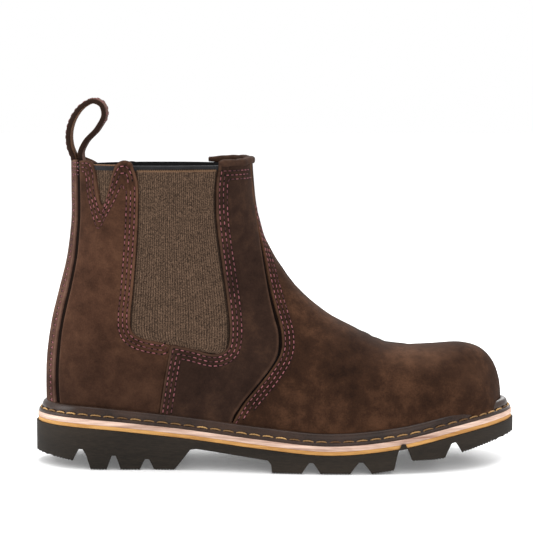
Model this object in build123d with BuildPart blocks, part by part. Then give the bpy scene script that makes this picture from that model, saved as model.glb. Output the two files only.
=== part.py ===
"""Right-foot dealer boot with a steel toe: welted sole unit, lasted upper with elastic gores, pull loop."""
import math
import os

from build123d import *

# ---------------------------------------------------------------- driving dimensions, millimetres
BOOT_LENGTH = 315.0
HEEL_END = -BOOT_LENGTH / 2
TOE_END = BOOT_LENGTH / 2
UPPER_TOE = 149.2
TOE_TIP_Y = 8.0
FEATHER = 0.25
CHORD_LIFT = 1.4

LEATHER = 2.0
LINING = 1.2
STEEL = 1.8
COUNTER = 1.4
LAYER_GAP = 0.15
LINING_SPACE = 0.7
LINING_SEAM = 1.3
STIFFENER_SPACE = 0.7
SEAM_GAP = 0.25
MOVING_GAP = 0.4
ELASTIC_RECESS = 0.9
GORE_GAP = 0.7
ELASTIC_THICKNESS = 1.0

MIDSOLE = 3.3
LOWER_MIDSOLE = 2.5
WELT = 2.5
STORM_HEIGHT = 6.0
STORM_WIDTH = 1.7
STITCH_INSET = 2.3
STITCH_WIDTH = 1.3
RIB_HEIGHT = 2.4
INSOLE = 2.5
FOOTBED = 4.4
STITCH_PITCH = 8.6
INSOLE_INSIDE = 15.3
RIB_INSIDE = 19.0
FOOTBED_INSIDE = 16.0
WELT_INSIDE = 6.0
SOLE_TRIM = 1.0

LOOP_WIDTH = 22.0
SIDE_DEPTH = 75.0
FAR = 175.0
HIGH = 215.0


def smooth(points):
    """A smooth curve y(x) through a few points, held level past its ends."""
    xs = [p[0] for p in points]
    ys = [p[1] for p in points]
    steps = [(ys[i + 1] - ys[i]) / (xs[i + 1] - xs[i]) for i in range(len(xs) - 1)]
    slopes = [steps[0]]
    for i in range(1, len(xs) - 1):
        before = xs[i] - xs[i - 1]
        after = xs[i + 1] - xs[i]
        slopes.append((steps[i - 1] * after + steps[i] * before) / (before + after))
    slopes.append(steps[-1])

    def value(x):
        x = min(max(x, xs[0]), xs[-1])
        i = 0
        while i < len(xs) - 2 and x > xs[i + 1]:
            i += 1
        width = xs[i + 1] - xs[i]
        u = (x - xs[i]) / width
        start = (1 + 2 * u) * (1 - u) ** 2 * ys[i] + u * (1 - u) ** 2 * width * slopes[i]
        end = u * u * (3 - 2 * u) * ys[i + 1] - u * u * (1 - u) * width * slopes[i + 1]
        return start + end

    return value


def rise(distance, reach, power):
    """0 at an edge, 1 once distance is reach: a quarter of a rounded-square arc."""
    u = 1 - min(max(distance / reach, 0.0), 1.0)
    return (1 - u ** power) ** (1 / power)


def ease(x, low, high):
    u = min(max((x - low) / (high - low), 0.0), 1.0)
    return u * u * (3 - 2 * u)


# ---------------------------------------------------------------- the lasted shape of the upper
midsole_top = smooth([(HEEL_END, 33.0), (-125, 32.8), (-75, 28.2), (-10, 21.4), (35, 17.9), (80, 21.8),
                      (120, 29.2), (TOE_END, 33.6)])


def feather(x, lift=0.0):
    """The point where the upper meets the sole unit, in side view, raised by lift."""
    return (x, midsole_top(x) + FEATHER + lift)


# Each station is a slanting cut across the boot: the point on the front or top line, the point on
# the back or feather line, and how far down the cut the full width is reached.
STATIONS = [
    ((-15.5, 206.0), (-133.0, 206.0), 0.50),
    ((-14.0, 182.0), (-133.0, 181.0), 0.50),
    ((-12.2, 167.0), (-133.3, 158.0), 0.48),
    ((-9.8, 157.0), (-136.3, 135.4), 0.46),
    ((-7.2, 148.0), (-141.5, 114.0), 0.44),
    ((-3.5, 140.5), (-147.0, 92.0), 0.43),
    ((0.5, 133.3), (-150.3, 66.0), 0.42),
    ((4.1, 128.0), (-150.9, 48.0), 0.42),
    ((7.1, 123.5), feather(-150.6), 0.43),
    ((8.6, 121.4), feather(-148.6), 0.43),
    ((10.2, 119.4), feather(-144.0), 0.44),
    ((12.3, 116.7), feather(-135.0), 0.45),
    ((15.0, 113.8), feather(-120.0), 0.47),
    ((19.0, 109.7), feather(-94.0), 0.52),
    ((26.0, 103.5), feather(-56.0), 0.60),
    ((36.0, 96.1), feather(-14.0), 0.69),
    ((48.0, 89.6), feather(24.0), 0.77),
    ((60.0, 83.8), feather(50.0), 0.78),
    ((74.0, 78.0), feather(70.0), 0.76),
    ((90.0, 76.1), feather(84.0), 0.74),
    ((107.0, 76.6), feather(93.0), 0.74),
    ((123.0, 77.1), feather(99.0), 0.73),
    ((135.5, 73.4), feather(103.0), 0.70),
    ((143.5, 65.0), feather(106.0), 0.64),
    ((147.8, 54.0), feather(108.5), 0.50),
    ((149.2, 44.0), feather(110.5), 0.32),
    ((148.9, 36.0), feather(112.0), 0.22),
]
LAST_STATION = len(STATIONS) - 1
front_x = smooth([(i, s[0][0]) for i, s in enumerate(STATIONS)])
front_z = smooth([(i, s[0][1]) for i, s in enumerate(STATIONS)])
back_x = smooth([(i, s[1][0]) for i, s in enumerate(STATIONS)])
back_z = smooth([(i, s[1][1]) for i, s in enumerate(STATIONS)])
full_width_at = smooth([(i, s[2]) for i, s in enumerate(STATIONS)])

back_line = smooth([(33, -150.6), (48, -150.9), (66, -150.4), (92, -147),
                    (114, -141.5), (135.4, -136.3), (158, -133.3), (181, -133), (206, -133)])
shaft_half_width = smooth([(60, 34), (110, 36), (150, 37.5), (206, 41)])
lateral_plan = smooth([(-150, 31.5), (-75, 32), (-49, 34.5), (-29, 38.3), (-8, 42.3), (15, 46), (45, 47.8),
                       (80, 46.5), (150, 47.5)])
medial_plan = smooth([(-150, 31.5), (-75, 30.5), (-45, 30.5), (-20, 33.5), (15, 40.5), (40, 44.5), (62, 45.8),
                      (85, 43.5), (110, 40), (150, 38)])


def half_width(s, t, side):
    """Distance from the middle line to the skin at station s, t of the way from front to back."""
    x = front_x(s) + (back_x(s) - front_x(s)) * t
    z = front_z(s) + (back_z(s) - front_z(s)) * t
    plan = lateral_plan(x) if side < 0 else medial_plan(x)
    plan *= rise(UPPER_TOE - x, 80, 2.3)
    plan += (shaft_half_width(z) - plan) * ease(z, 60, 135)
    shoulder = rise(t, full_width_at(s), 2.3)
    heel = rise(x - back_line(z), 52, 2.15)
    return plan * shoulder * heel


def middle_y(x):
    return TOE_TIP_Y * ease(x, 60, 150)


def front_point(s):
    return (front_x(s), front_z(s))


def back_point(s):
    return (back_x(s), back_z(s))


def locate(x, z):
    """The station and the share of its cut at which a side-view point lies."""
    low, high = 0.0, float(LAST_STATION)
    for _ in range(40):
        s = (low + high) / 2
        ahead = (back_x(s) - front_x(s)) * (z - front_z(s)) - (back_z(s) - front_z(s)) * (x - front_x(s))
        if ahead > 0:
            low = s
        else:
            high = s
    run_x = back_x(s) - front_x(s)
    run_z = back_z(s) - front_z(s)
    t = ((x - front_x(s)) * run_x + (z - front_z(s)) * run_z) / (run_x ** 2 + run_z ** 2)
    return s, min(max(t, 0.0), 1.0)


def skin_y(x, z, side):
    s, t = locate(x, z)
    return side * half_width(s, t, side) + middle_y(x)


def strip(points, outer, inner):
    """The closed outline of a thin strip: a row of skin points, and the same row taken in."""
    origin = points[0][0]
    far = max((p[0] for p in points), key=lambda p: (p - origin).length)
    along = (far - origin).normalized()
    flat = [((spot - origin).dot(along), y) for spot, y in points]
    tangents = []
    for i, (spot, y) in enumerate(points):
        before = flat[max(i - 1, 0)]
        after = flat[min(i + 1, len(flat) - 1)]
        tangent = Vector(after[0] - before[0], after[1] - before[1]).normalized()
        if i in (0, len(points) - 1) and abs(y - middle_y(spot.X)) < 0.5:
            tangent = Vector(0, math.copysign(1, tangent.Y))
        tangents.append(tangent)
    outward = sum(tangent.X * (y - middle_y(spot.X)) for tangent, (spot, y) in zip(tangents, points))
    turn = -1 if outward > 0 else 1
    layers = []
    for depth in (outer, inner):
        row = []
        for tangent, (spot, y) in zip(tangents, points):
            d = depth(spot.X, spot.Z) * turn
            place = spot - along * (tangent.Y * d)
            row.append(Vector(place.X, y + tangent.X * d, place.Z))
        layers.append(row)
    steps = [i / (len(points) - 1) for i in range(len(points))]
    out = Edge.make_spline(layers[0], parameters=steps)
    back = Edge.make_spline(layers[1][::-1], parameters=steps)
    ends = [Edge.make_line(layers[0][-1], layers[1][-1]), Edge.make_line(layers[1][0], layers[0][0])]
    return Wire([out, ends[0], back, ends[1]])


def side_row(start, end, side, count=10, off_middle=0.0):
    """Skin points on one side along a straight side-view line, closer together near its ends.

    off_middle keeps the points that far from the boot's middle line.
    """
    row = []
    for i in range(count + 1):
        u = (1 - math.cos(math.pi * i / count)) / 2
        x = start[0] + (end[0] - start[0]) * u
        z = start[1] + (end[1] - start[1]) * u
        y = skin_y(x, z, side)
        if abs(y - middle_y(x)) < off_middle:
            y = middle_y(x) + side * off_middle
        row.append((Vector(x, 0, z), y))
    if side > 0:
        row.reverse()
    return row


def wrapped_row(edge, ridge, count=11):
    """Skin points from one side, over the front or back line at ridge, to the other side."""
    lateral = []
    medial = []
    for i in range(count + 1):
        u = math.sin(math.pi / 2 * i / count) if i < count else 1.0
        x = edge[0] + (ridge[0] - edge[0]) * u
        z = edge[1] + (ridge[1] - edge[1]) * u
        if i == count:
            lateral.append((Vector(x, 0, z), middle_y(x)))
        else:
            lateral.append((Vector(x, 0, z), skin_y(x, z, -1)))
            medial.append((Vector(x, 0, z), skin_y(x, z, 1)))
    row = lateral + medial[::-1]
    if ridge[0] < edge[0]:
        row.reverse()
    return row


def panel(rows, outer, inner):
    """A curved panel of the upper, lofted through its rows of skin points."""
    return Solid.make_loft([strip(row, outer, inner) for row in rows], ruled=True)


def constant(depth):
    return lambda x, z: depth


def toe_zone(x):
    return ease(x, 84, 104)


def heel_zone(x, z):
    return (1 - ease(x, -105, -85)) * (1 - ease(z, 78, 96))


def stiffener_depth(x, z):
    """How far the lining stands off the leather to make room for the toe cap or the heel counter."""
    return toe_zone(x) * (STEEL + STIFFENER_SPACE) + heel_zone(x, z) * (COUNTER + STIFFENER_SPACE)


LINING_OUT = LEATHER + LINING_SPACE
LINING_IN = LINING_OUT + LINING

# ---------------------------------------------------------------- the sole unit's plan and levels
PLAN = [(HEEL_END, 0), (-147, -22), (-126, -36), (-94, -38.5), (-49, -41), (-10, -49), (38, -54), (80, -51.5),
        (119, -38.5), (147, -14.5), (TOE_END, 8), (150, 26), (130, 40), (100, 48.5), (64, 53.6), (36, 50.5),
        (-5, 42), (-40, 37), (-75, 36.5), (-112, 38), (-136, 32.5), (-151, 17)]
LEVEL_STEPS = [HEEL_END - 8, -140, -110, -75, -40, -10, 15, 35, 55, 80, 100, 120, 140, TOE_END + 8]


def level(height):
    """The points of the midsole's top line in side view, raised by height."""
    return [(x, midsole_top(x) + height) for x in LEVEL_STEPS]


def draw_plan(inside=0.0):
    """The sole's plan outline, taken in by inside all round."""
    points = []
    for i, (x, y) in enumerate(PLAN):
        before = PLAN[i - 1]
        after = PLAN[(i + 1) % len(PLAN)]
        along = Vector(after[0] - before[0], after[1] - before[1]).normalized()
        points.append((x - along.Y * inside, y + along.X * inside))
    with BuildLine() as outline:
        Spline(*points, periodic=True)
    make_face(outline.line)


def draw_runs(*runs):
    """One closed side-view outline from runs of points, each starting where the last one ended."""
    with BuildLine() as outline:
        for run in runs:
            if len(run) > 2:
                Spline(*run)
            else:
                Line(*run)
    make_face(outline.line)


def draw_band(low, high):
    """The side-view band between two heights above the midsole's top line."""
    bottom = level(low)
    top = level(high)[::-1]
    draw_runs(bottom, [bottom[-1], top[0]], top, [top[-1], bottom[0]])


def keep_band(low, high):
    """Cuts the open part down to the band between two heights above the midsole's top line."""
    with BuildSketch(Plane.XZ) as band:
        draw_band(low, high)
    extrude(band.sketch, amount=SIDE_DEPTH, both=True, mode=Mode.INTERSECT)


parts_made = {}


def hand_over(piece, name):
    parts_made[name] = piece.part


def make_room(name, *others):
    """Cuts the room other pieces take out of each solid of a piece, and keeps what lies on its own side."""
    kept = []
    for solid in parts_made[name].solids():
        with BuildPart() as cut:
            add(solid)
            for other in others:
                add(parts_made[other], mode=Mode.SUBTRACT)
        kept.append(max(cut.part.solids(), key=lambda rest: rest.volume))
    with BuildPart() as piece:
        for solid in kept:
            add(solid)
    hand_over(piece, name)


# ---------------------------------------------------------------- outsole, midsoles
GROOVES = [(-125.7, 5.5, 11.3, 3.2), (-104.4, 4.6, 9.2, 0.0), (-82.9, 4.6, 6.9, 0.0), (22.6, 6.0, 7.2, 0.0),
           (54.4, 7.0, 7.6, 0.0), (81.6, 5.6, 11.2, 0.0), (114.4, 5.8, 14.3, 6.0)]
TREAD = [(HEEL_END - 8, 8.0), (-147, 6.6), (-131, 4.9), (-122, 4.9), (-119, 0.0), (-66, 0.0), (-64, 1.6), (-55, 13.4),
         (-51, 14.0), (-5, 8.2), (-2.6, 5.0), (-4.0, 0.0), (62, 0.0), (75, 1.9), (78, 7.6), (103, 7.8), (109, 8.4),
         (120, 11.0), (132, 13.4), (147, 16.5), (TOE_END + 8, 20.0)]

with BuildPart() as outsole:
    with BuildSketch(Plane.XY):
        draw_plan()
    extrude(amount=45)
    with BuildSketch(Plane.XZ):
        top = level(-MIDSOLE - LOWER_MIDSOLE)[::-1]
        with BuildLine():
            Polyline(*TREAD)
            Line(TREAD[-1], top[0])
            Spline(*top)
            Line(top[-1], TREAD[0])
        make_face()
    extrude(amount=SIDE_DEPTH, both=True, mode=Mode.INTERSECT)
    with BuildSketch(Plane.XZ):
        for x, spread, peak, foot in GROOVES:
            with BuildLine():
                Polyline((x - spread, foot - 9), (x - spread, foot), (x - 1.3, peak), (x + 1.3, peak),
                         (x + spread, foot), (x + spread, foot - 9), close=True)
            make_face()
    extrude(amount=SIDE_DEPTH, both=True, mode=Mode.SUBTRACT)
hand_over(outsole, "outsole")

SOLE_LAYERS = [("lower_midsole", -MIDSOLE - LOWER_MIDSOLE, -MIDSOLE, 0.3), ("midsole", -MIDSOLE, 0.0, 0.0)]
for name, low, high, trim in SOLE_LAYERS:
    with BuildPart() as layer:
        with BuildSketch(Plane.XY):
            draw_plan(SOLE_TRIM + trim)
        extrude(amount=60)
        keep_band(low, high)
    hand_over(layer, name)

# ---------------------------------------------------------------- welt with its storm bead, and its stitches

def plan_block(inside):
    """A tall block with the sole's plan taken in by inside, to be cut to a band."""
    with BuildPart() as block:
        with BuildSketch(Plane.XY):
            draw_plan(inside)
        extrude(amount=60)
    return block.part


with BuildPart() as storm_bead:
    add(plan_block(WELT_INSIDE - STORM_WIDTH))
    add(plan_block(WELT_INSIDE), mode=Mode.SUBTRACT)
    keep_band(WELT - 0.2, STORM_HEIGHT)

with BuildPart() as welt:
    add(plan_block(SOLE_TRIM + 0.8))
    add(plan_block(WELT_INSIDE), mode=Mode.SUBTRACT)
    keep_band(0.0, WELT)
    add(storm_bead.part)
hand_over(welt, "welt")

with BuildSketch(Plane.XY) as stitch_path:
    draw_plan(SOLE_TRIM + STITCH_INSET)
stitch_line = stitch_path.sketch.face().outer_wire()
STITCHES = round(stitch_line.length / STITCH_PITCH)
with BuildPart() as welt_stitches:
    for i in range(STITCHES):
        spot = stitch_line @ (i / STITCHES)
        way = stitch_line % (i / STITCHES)
        slope = (midsole_top(spot.X + 1) - midsole_top(spot.X - 1)) / 2
        tilt = Vector(way.X, way.Y, slope * way.X).normalized()
        across = Vector(0, 0, 1).cross(tilt).normalized()
        place = Plane(origin=(spot.X, spot.Y, midsole_top(spot.X) + WELT + 0.75), x_dir=tilt, z_dir=tilt.cross(across))
        with Locations(place):
            Box(STITCH_PITCH * 0.78, STITCH_WIDTH, 1.0)
hand_over(welt_stitches, "welt_stitches")

# ---------------------------------------------------------------- what the sole holds inside
SHANK_ENDS = (-112.0, -8.0)
SHANK_WIDTH = 18.0
SHANK_THICKNESS = 1.2
SHANK_LOW = 0.7


def shank_block(grow):
    """The steel strip under the arch, grown by grow all round."""
    low, high = SHANK_ENDS
    with BuildPart() as block:
        with BuildSketch(Plane.XY.offset(5)):
            with Locations(((low + high) / 2, -1)):
                SlotOverall(high - low + 2 * grow, SHANK_WIDTH + 2 * grow)
        extrude(amount=50)
        keep_band(SHANK_LOW - grow, SHANK_LOW + SHANK_THICKNESS + grow)
    return block


shank = shank_block(0.0)
hand_over(shank, "shank")
shank_pocket = shank_block(LAYER_GAP)


with BuildPart() as cork_filler:
    add(plan_block(RIB_INSIDE + LAYER_GAP))
    keep_band(LAYER_GAP, RIB_HEIGHT)
    add(shank_pocket.part, mode=Mode.SUBTRACT)
hand_over(cork_filler, "cork_filler")

with BuildPart() as insole_rib:
    add(plan_block(INSOLE_INSIDE))
    add(plan_block(RIB_INSIDE), mode=Mode.SUBTRACT)
    keep_band(LAYER_GAP, RIB_HEIGHT)
hand_over(insole_rib, "insole_rib")

with BuildPart() as insole_board:
    add(plan_block(INSOLE_INSIDE))
    keep_band(RIB_HEIGHT + LAYER_GAP, RIB_HEIGHT + LAYER_GAP + INSOLE)
hand_over(insole_board, "insole_board")

FOOTBED_LOW = RIB_HEIGHT + LAYER_GAP + INSOLE + MOVING_GAP
with BuildPart() as footbed:
    add(plan_block(FOOTBED_INSIDE))
    keep_band(FOOTBED_LOW, FOOTBED_LOW + FOOTBED)
hand_over(footbed, "footbed")

# ---------------------------------------------------------------- side-view seams of the upper
COLLAR = 198.8
GORE_TOP = 193.4
RIM = 192.0
SIDES = (("lateral", -1), ("medial", 1))
OUT = constant(0.0)
LEATHER_IN = constant(LEATHER)
ELASTIC_OUT = constant(ELASTIC_RECESS)
ELASTIC_IN = constant(ELASTIC_RECESS + ELASTIC_THICKNESS)


def lining_depth(x, z):
    return LINING_OUT + stiffener_depth(x, z)


def lining_back_depth(x, z):
    return lining_depth(x, z) + LINING


def stiffener_back_depth(x, z):
    return LINING_OUT + max(stiffener_depth(x, z) - STIFFENER_SPACE, 0.2)


def shifted(point, dx):
    return (point[0] + dx, point[1])


def moved_rows(rows, left, right):
    """Rows of side-view segments with both ends moved along X, to leave the seam gaps."""
    return [(shifted(start, left), shifted(end, right)) for start, end in rows]


# the back strip's edge, from the collar down to the feather line, at the heights of its rows
GROOVE = [(-126.8, COLLAR), (-127.0, 182), (-127.0, 164), (-128.0, 150), (-129.4, 136), (-133.0, 118), (-137.6, 99),
          (-140.6, 82), (-142.4, 62), (-142.1, 46), (-140.6, midsole_top(-140.6) + FEATHER)]
# the back quarter, from the groove to the gore and then to the overlap seam
QUARTER_ROWS = [
    ((-126.8, COLLAR), (-91.5, COLLAR)),
    ((-127.0, 182), (-88.1, 184)),
    ((-127.0, 164), (-88.4, 164)),
    ((-128.0, 150), (-89.2, 150)),
    ((-129.4, 136), (-90.4, 134)),
    ((-133.0, 118), (-92.0, 115)),
    ((-136.6, 103), (-93.5, 97)),
    ((-138.4, 95), (-91.5, 87.6)),
    ((-139.8, 87), (-83.0, 83.6)),
    ((-140.6, 82), (-67.5, 80.2)),
    ((-142.4, 62), (-71.2, 63)),
    ((-142.1, 46), (-74.0, 46)),
    (feather(-140.6, CHORD_LIFT), feather(-76.2, CHORD_LIFT)),
]
GORE_ROWS = [
    ((-88.4, RIM), (-38.0, RIM)),
    ((-88.0, 177), (-39.6, 175)),
    ((-88.8, 158), (-38.4, 158)),
    ((-90.2, 138), (-35.8, 138)),
    ((-92.2, 114), (-32.4, 114)),
    ((-93.6, 97), (-29.9, 96)),
    ((-93.2, 90), (-30.0, 84)),
    ((-90.0, 86), (-32.6, 78)),
    ((-85.0, 85.2), (-41.0, 76.2)),
]
# the side panel, before the gore is cut out of it
SIDE_ROWS = [
    ((-52.0, 195), (-16.7, 195)),
    ((-55.0, 175), (-14.2, 175)),
    ((-56.0, 158), (-11.9, 158)),
    ((-57.0, 138), (-8.6, 138)),
    ((-58.0, 116), (-4.4, 114)),
    ((-60.0, 99), (0.4, 96)),
    ((-63.0, 90), (2.3, 83)),
    ((-66.0, 80.3), (-3.4, 67)),
    ((-68.4, 72), (-9.6, 58.8)),
    ((-71.0, 62), (-16.5, 50.4)),
    ((-73.2, 51), (-21.4, 43.6)),
    ((-74.8, 40), (-25.4, 35.6)),
    (feather(-76.0, CHORD_LIFT), feather(-31.0, CHORD_LIFT)),
]
GORE_FRONT = [(-70.0, 81.2), (-52.0, 77.6), (-42.0, 75.1), (-33.4, 76.4), (-30.0, 83), (-29.9, 97), (-33.0, 118),
              (-36.8, 145), (-39.6, 174), (-37.6, 188), (-35.8, 200)]
# the vamp: station of each cut, and where its edge lies on the seam or the feather line
VAMP_EDGE = [
    (0.55, (-16.5, 195)), (1.0, (-15.0, 182)), (2.0, (-12.9, 166)), (3.0, (-11.5, 156)), (4.0, (-9.9, 146.6)),
    (5.0, (-8.5, 138)), (6.0, (-7.0, 129)), (7.0, (-5.4, 119.5)), (8.6, (-3.4, 110)), (10.6, (-0.8, 100)),
    (12.6, (2.0, 87.5)), (13.8, (1.2, 75)), (14.7, (-7.0, 61.8)), (15.4, (-19.0, 46.8)), (15.9, feather(-29.5)),
    (16.4, feather(-8.0)), (17.0, feather(18.0)), (17.8, feather(44.0)), (18.6, feather(63.0)),
]
VAMP_EDGE += [(s, back_point(s)) for s in (19.5, 20, 21, 22, 23, 24, 25, 26)]


def wrap_over(edges):
    return [wrapped_row(edge, front_point(s)) for s, edge in edges]


def wrap_back(edges):
    return [wrapped_row(edge, (back_line(edge[1]), edge[1])) for edge in edges]


def side_rows(segments, side):
    return [side_row(start, end, side) for start, end in segments]


def make(name, *solids):
    with BuildPart() as piece:
        for solid in solids:
            add(solid)
    hand_over(piece, name)


make("vamp", panel(wrap_over([(s, shifted(edge, SEAM_GAP)) for s, edge in VAMP_EDGE[::-1]]), OUT, LEATHER_IN))
make("back_strip", panel(wrap_back([shifted(edge, -SEAM_GAP) for edge in GROOVE]), OUT, LEATHER_IN))

LINING_SPANS = (("quarter_lining", (0.56, 1, 2, 3, 4, 5, 6, 7, 8, 9)), ("foot_lining", (9.03, 10, 11, 12, 13, 14)))
NOTCH = [(-116.6, 212), (-114.4, 186), (-113.0, 174), (-111.2, 169.9), (-109.3, 173), (-105.6, 186), (-101.4, 212)]
for side_name, side in SIDES:
    reach = SIDE_DEPTH if side < 0 else -SIDE_DEPTH
    with BuildPart() as side_panel:
        add(panel(side_rows(SIDE_ROWS, side), OUT, LEATHER_IN))
        with BuildSketch(Plane.XZ) as gore_window:
            with BuildLine():
                Spline(*GORE_FRONT)
                Polyline(GORE_FRONT[-1], (-70.0, 200.0), GORE_FRONT[0])
            make_face()
        extrude(amount=reach, mode=Mode.SUBTRACT)
    hand_over(side_panel, "side_panel_" + side_name)
    with BuildPart() as back_quarter:
        add(panel(side_rows(moved_rows(QUARTER_ROWS, SEAM_GAP, -SEAM_GAP), side), OUT, LEATHER_IN))
        with BuildSketch(Plane.XZ) as notch:
            with BuildLine():
                Polyline(*NOTCH, close=True)
            make_face()
        extrude(amount=reach, mode=Mode.SUBTRACT)
    hand_over(back_quarter, "back_quarter_" + side_name)
    make("gore_" + side_name, panel(side_rows(moved_rows(GORE_ROWS, GORE_GAP, -GORE_GAP), side), ELASTIC_OUT, ELASTIC_IN))
    make("notch_elastic_" + side_name, panel(side_rows([((-114.0, RIM), (-105.0, RIM)), ((-112.8, 180), (-107.8, 180)),
                                                        ((-111.6, 173.0), (-110.8, 173.0))], side),
                                             ELASTIC_OUT, ELASTIC_IN))
    for lining_name, stations in LINING_SPANS:
        rows = [side_row(front_point(s), back_point(s), side, 14, LINING_SEAM) for s in stations]
        make(lining_name + "_" + side_name, panel(rows, lining_depth, lining_back_depth))

# ---------------------------------------------------------------- lining, stiffeners, collar
TOE_STATIONS = [20.1, 21, 22, 23, 24, 25, 26]
make("vamp_lining", panel(wrap_over([(s, back_point(s)) for s in [14.02, 15, 16, 17, 18, 19, 20, 21, 22, 23, 24, 25, 26]]),
                          lining_depth, lining_back_depth))
make("steel_toe_cap", panel(wrap_over([(s, back_point(s)) for s in TOE_STATIONS]), constant(LINING_OUT),
                            stiffener_back_depth))
make("toe_cap_edge_strip", panel(wrap_over([(s, back_point(s)) for s in (19.4, 19.7, 20.05)]), constant(LINING_OUT),
                                 stiffener_back_depth))
make("heel_counter", panel(wrap_back([(-96.0, 84), (-97.0, 70), (-98.0, 55), (-99.0, 42), feather(-100.0)]),
                           constant(LINING_OUT), stiffener_back_depth))
make("collar_binding", panel(wrap_back([(-37.0, 193.3), (-37.0, 194.2), (-37.0, 195.1)]), constant(LINING_OUT),
                             constant(LINING_IN)))
make("front_tab", panel(wrap_over([(0.42, (-35.0, 195.3)), (0.36, (-35.0, 197.0)), (0.30, (-35.0, COLLAR))]),
                        constant(-0.6), constant(4.2)))

# ---------------------------------------------------------------- pull loop
LOOP_OUT = [(-133.3, 202.3), (-135.6, 209.5), (-135.4, 218), (-131.5, 228.5), (-124.5, 236.0), (-118.0, 238.0),
            (-111.5, 235.2), (-109.4, 228.0), (-114.3, 217.2), (-123.6, 208.6), (-127.6, 202.3)]
LOOP_IN = [(-130.3, 204.6), (-132.2, 210.6), (-131.9, 217.4), (-128.4, 226.2), (-122.6, 232.6), (-117.6, 234.4),
           (-114.0, 232.4), (-112.9, 228.0), (-117.2, 219.2), (-126.4, 210.6), (-129.7, 204.6)]
with BuildPart() as pull_loop:
    with BuildSketch(Plane.XZ):
        draw_runs(LOOP_OUT, [LOOP_OUT[-1], LOOP_OUT[0]])
    extrude(amount=LOOP_WIDTH / 2, both=True)
    with BuildSketch(Plane.XZ):
        draw_runs(LOOP_IN, [LOOP_IN[-1], LOOP_IN[0]])
    extrude(amount=LOOP_WIDTH / 2, both=True, mode=Mode.SUBTRACT)
hand_over(pull_loop, "pull_loop")

make("pull_loop_anchor", panel(wrap_back([(-130.3, 198.6), (-130.3, 186), (-130.3, 174)]), constant(LINING_IN + 0.3),
                               constant(LINING_IN + 2.6)))

# ---------------------------------------------------------------- pieces shaped to what they lie against
make_room("heel_counter", "midsole", "back_strip", "back_quarter_medial")
make_room("back_quarter_lateral", "heel_counter")
make_room("welt_stitches", "vamp")
make_room("welt", "vamp", "back_strip", "side_panel_lateral", "side_panel_medial", "steel_toe_cap")
for side_name, side in SIDES:
    make_room("notch_elastic_" + side_name, "back_quarter_" + side_name)

os.makedirs("parts", exist_ok=True)
for name, part in parts_made.items():
    part.label = name
    export_step(part, "parts/" + name + ".step")
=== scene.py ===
import math

import bmesh
import bpy
import numpy as np
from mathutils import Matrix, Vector, noise


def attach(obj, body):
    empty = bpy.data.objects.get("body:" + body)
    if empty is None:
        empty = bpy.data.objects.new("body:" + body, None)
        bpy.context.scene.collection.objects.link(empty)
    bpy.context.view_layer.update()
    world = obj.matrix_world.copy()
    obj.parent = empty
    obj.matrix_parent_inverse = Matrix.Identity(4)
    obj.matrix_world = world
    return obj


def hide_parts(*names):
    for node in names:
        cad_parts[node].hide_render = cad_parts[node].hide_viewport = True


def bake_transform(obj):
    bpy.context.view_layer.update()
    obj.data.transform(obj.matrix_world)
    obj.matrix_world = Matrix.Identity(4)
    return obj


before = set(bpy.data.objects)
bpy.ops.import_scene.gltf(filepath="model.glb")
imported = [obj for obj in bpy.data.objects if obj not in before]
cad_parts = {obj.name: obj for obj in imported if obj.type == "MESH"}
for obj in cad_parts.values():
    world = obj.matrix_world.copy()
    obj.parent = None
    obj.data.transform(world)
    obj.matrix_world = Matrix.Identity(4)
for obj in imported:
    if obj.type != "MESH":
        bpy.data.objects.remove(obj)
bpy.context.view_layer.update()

MM = 0.001


# ---------------------------------------------------------------- camera, light and floor
def aim(thing, place, target):
    """Puts a lamp at a place, pointing at its target."""
    thing.location = place
    thing.rotation_euler = (Vector(target) - Vector(place)).to_track_quat("-Z", "Y").to_euler()


camera_data = bpy.data.cameras.new("camera")
camera = bpy.data.objects.new("camera", camera_data)
camera.location = (-0.0059, -1.4, 0.275)
camera.rotation_euler = (math.radians(84), 0, 0)
camera_data.sensor_width = 36
camera_data.lens = 145.0
bpy.context.scene.collection.objects.link(camera)
bpy.context.scene.camera = camera

LIGHTS = [
    # name, place, target, width, height, watts
    ("top_softbox", (0.05, 0.1, 1.25), (0.02, 0.0, 0.08), 1.3, 0.9, 11.0),
    ("front_softbox", (0.5, -1.5, 0.75), (0.0, 0.0, 0.08), 1.2, 0.9, 5.0),
    ("left_softbox", (-1.3, -0.2, 0.55), (-0.1, 0.0, 0.12), 0.6, 1.0, 7.0),
    ("back_softbox", (0.5, 1.3, 0.8), (0.0, 0.0, 0.1), 1.0, 0.7, 9.0),
]
for name, place, target, width, height, watts in LIGHTS:
    light = bpy.data.lights.new(name, "AREA")
    light.shape = "RECTANGLE"
    light.size = width
    light.size_y = height
    light.energy = watts
    lamp = bpy.data.objects.new(name, light)
    aim(lamp, place, target)
    bpy.context.scene.collection.objects.link(lamp)

world = bpy.data.worlds.new("studio")
world.use_nodes = True
world.node_tree.nodes["Background"].inputs["Color"].default_value = (1, 1, 1, 1)
world.node_tree.nodes["Background"].inputs["Strength"].default_value = 1.0
bpy.context.scene.world = world
bpy.context.scene.view_settings.view_transform = "Standard"


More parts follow.
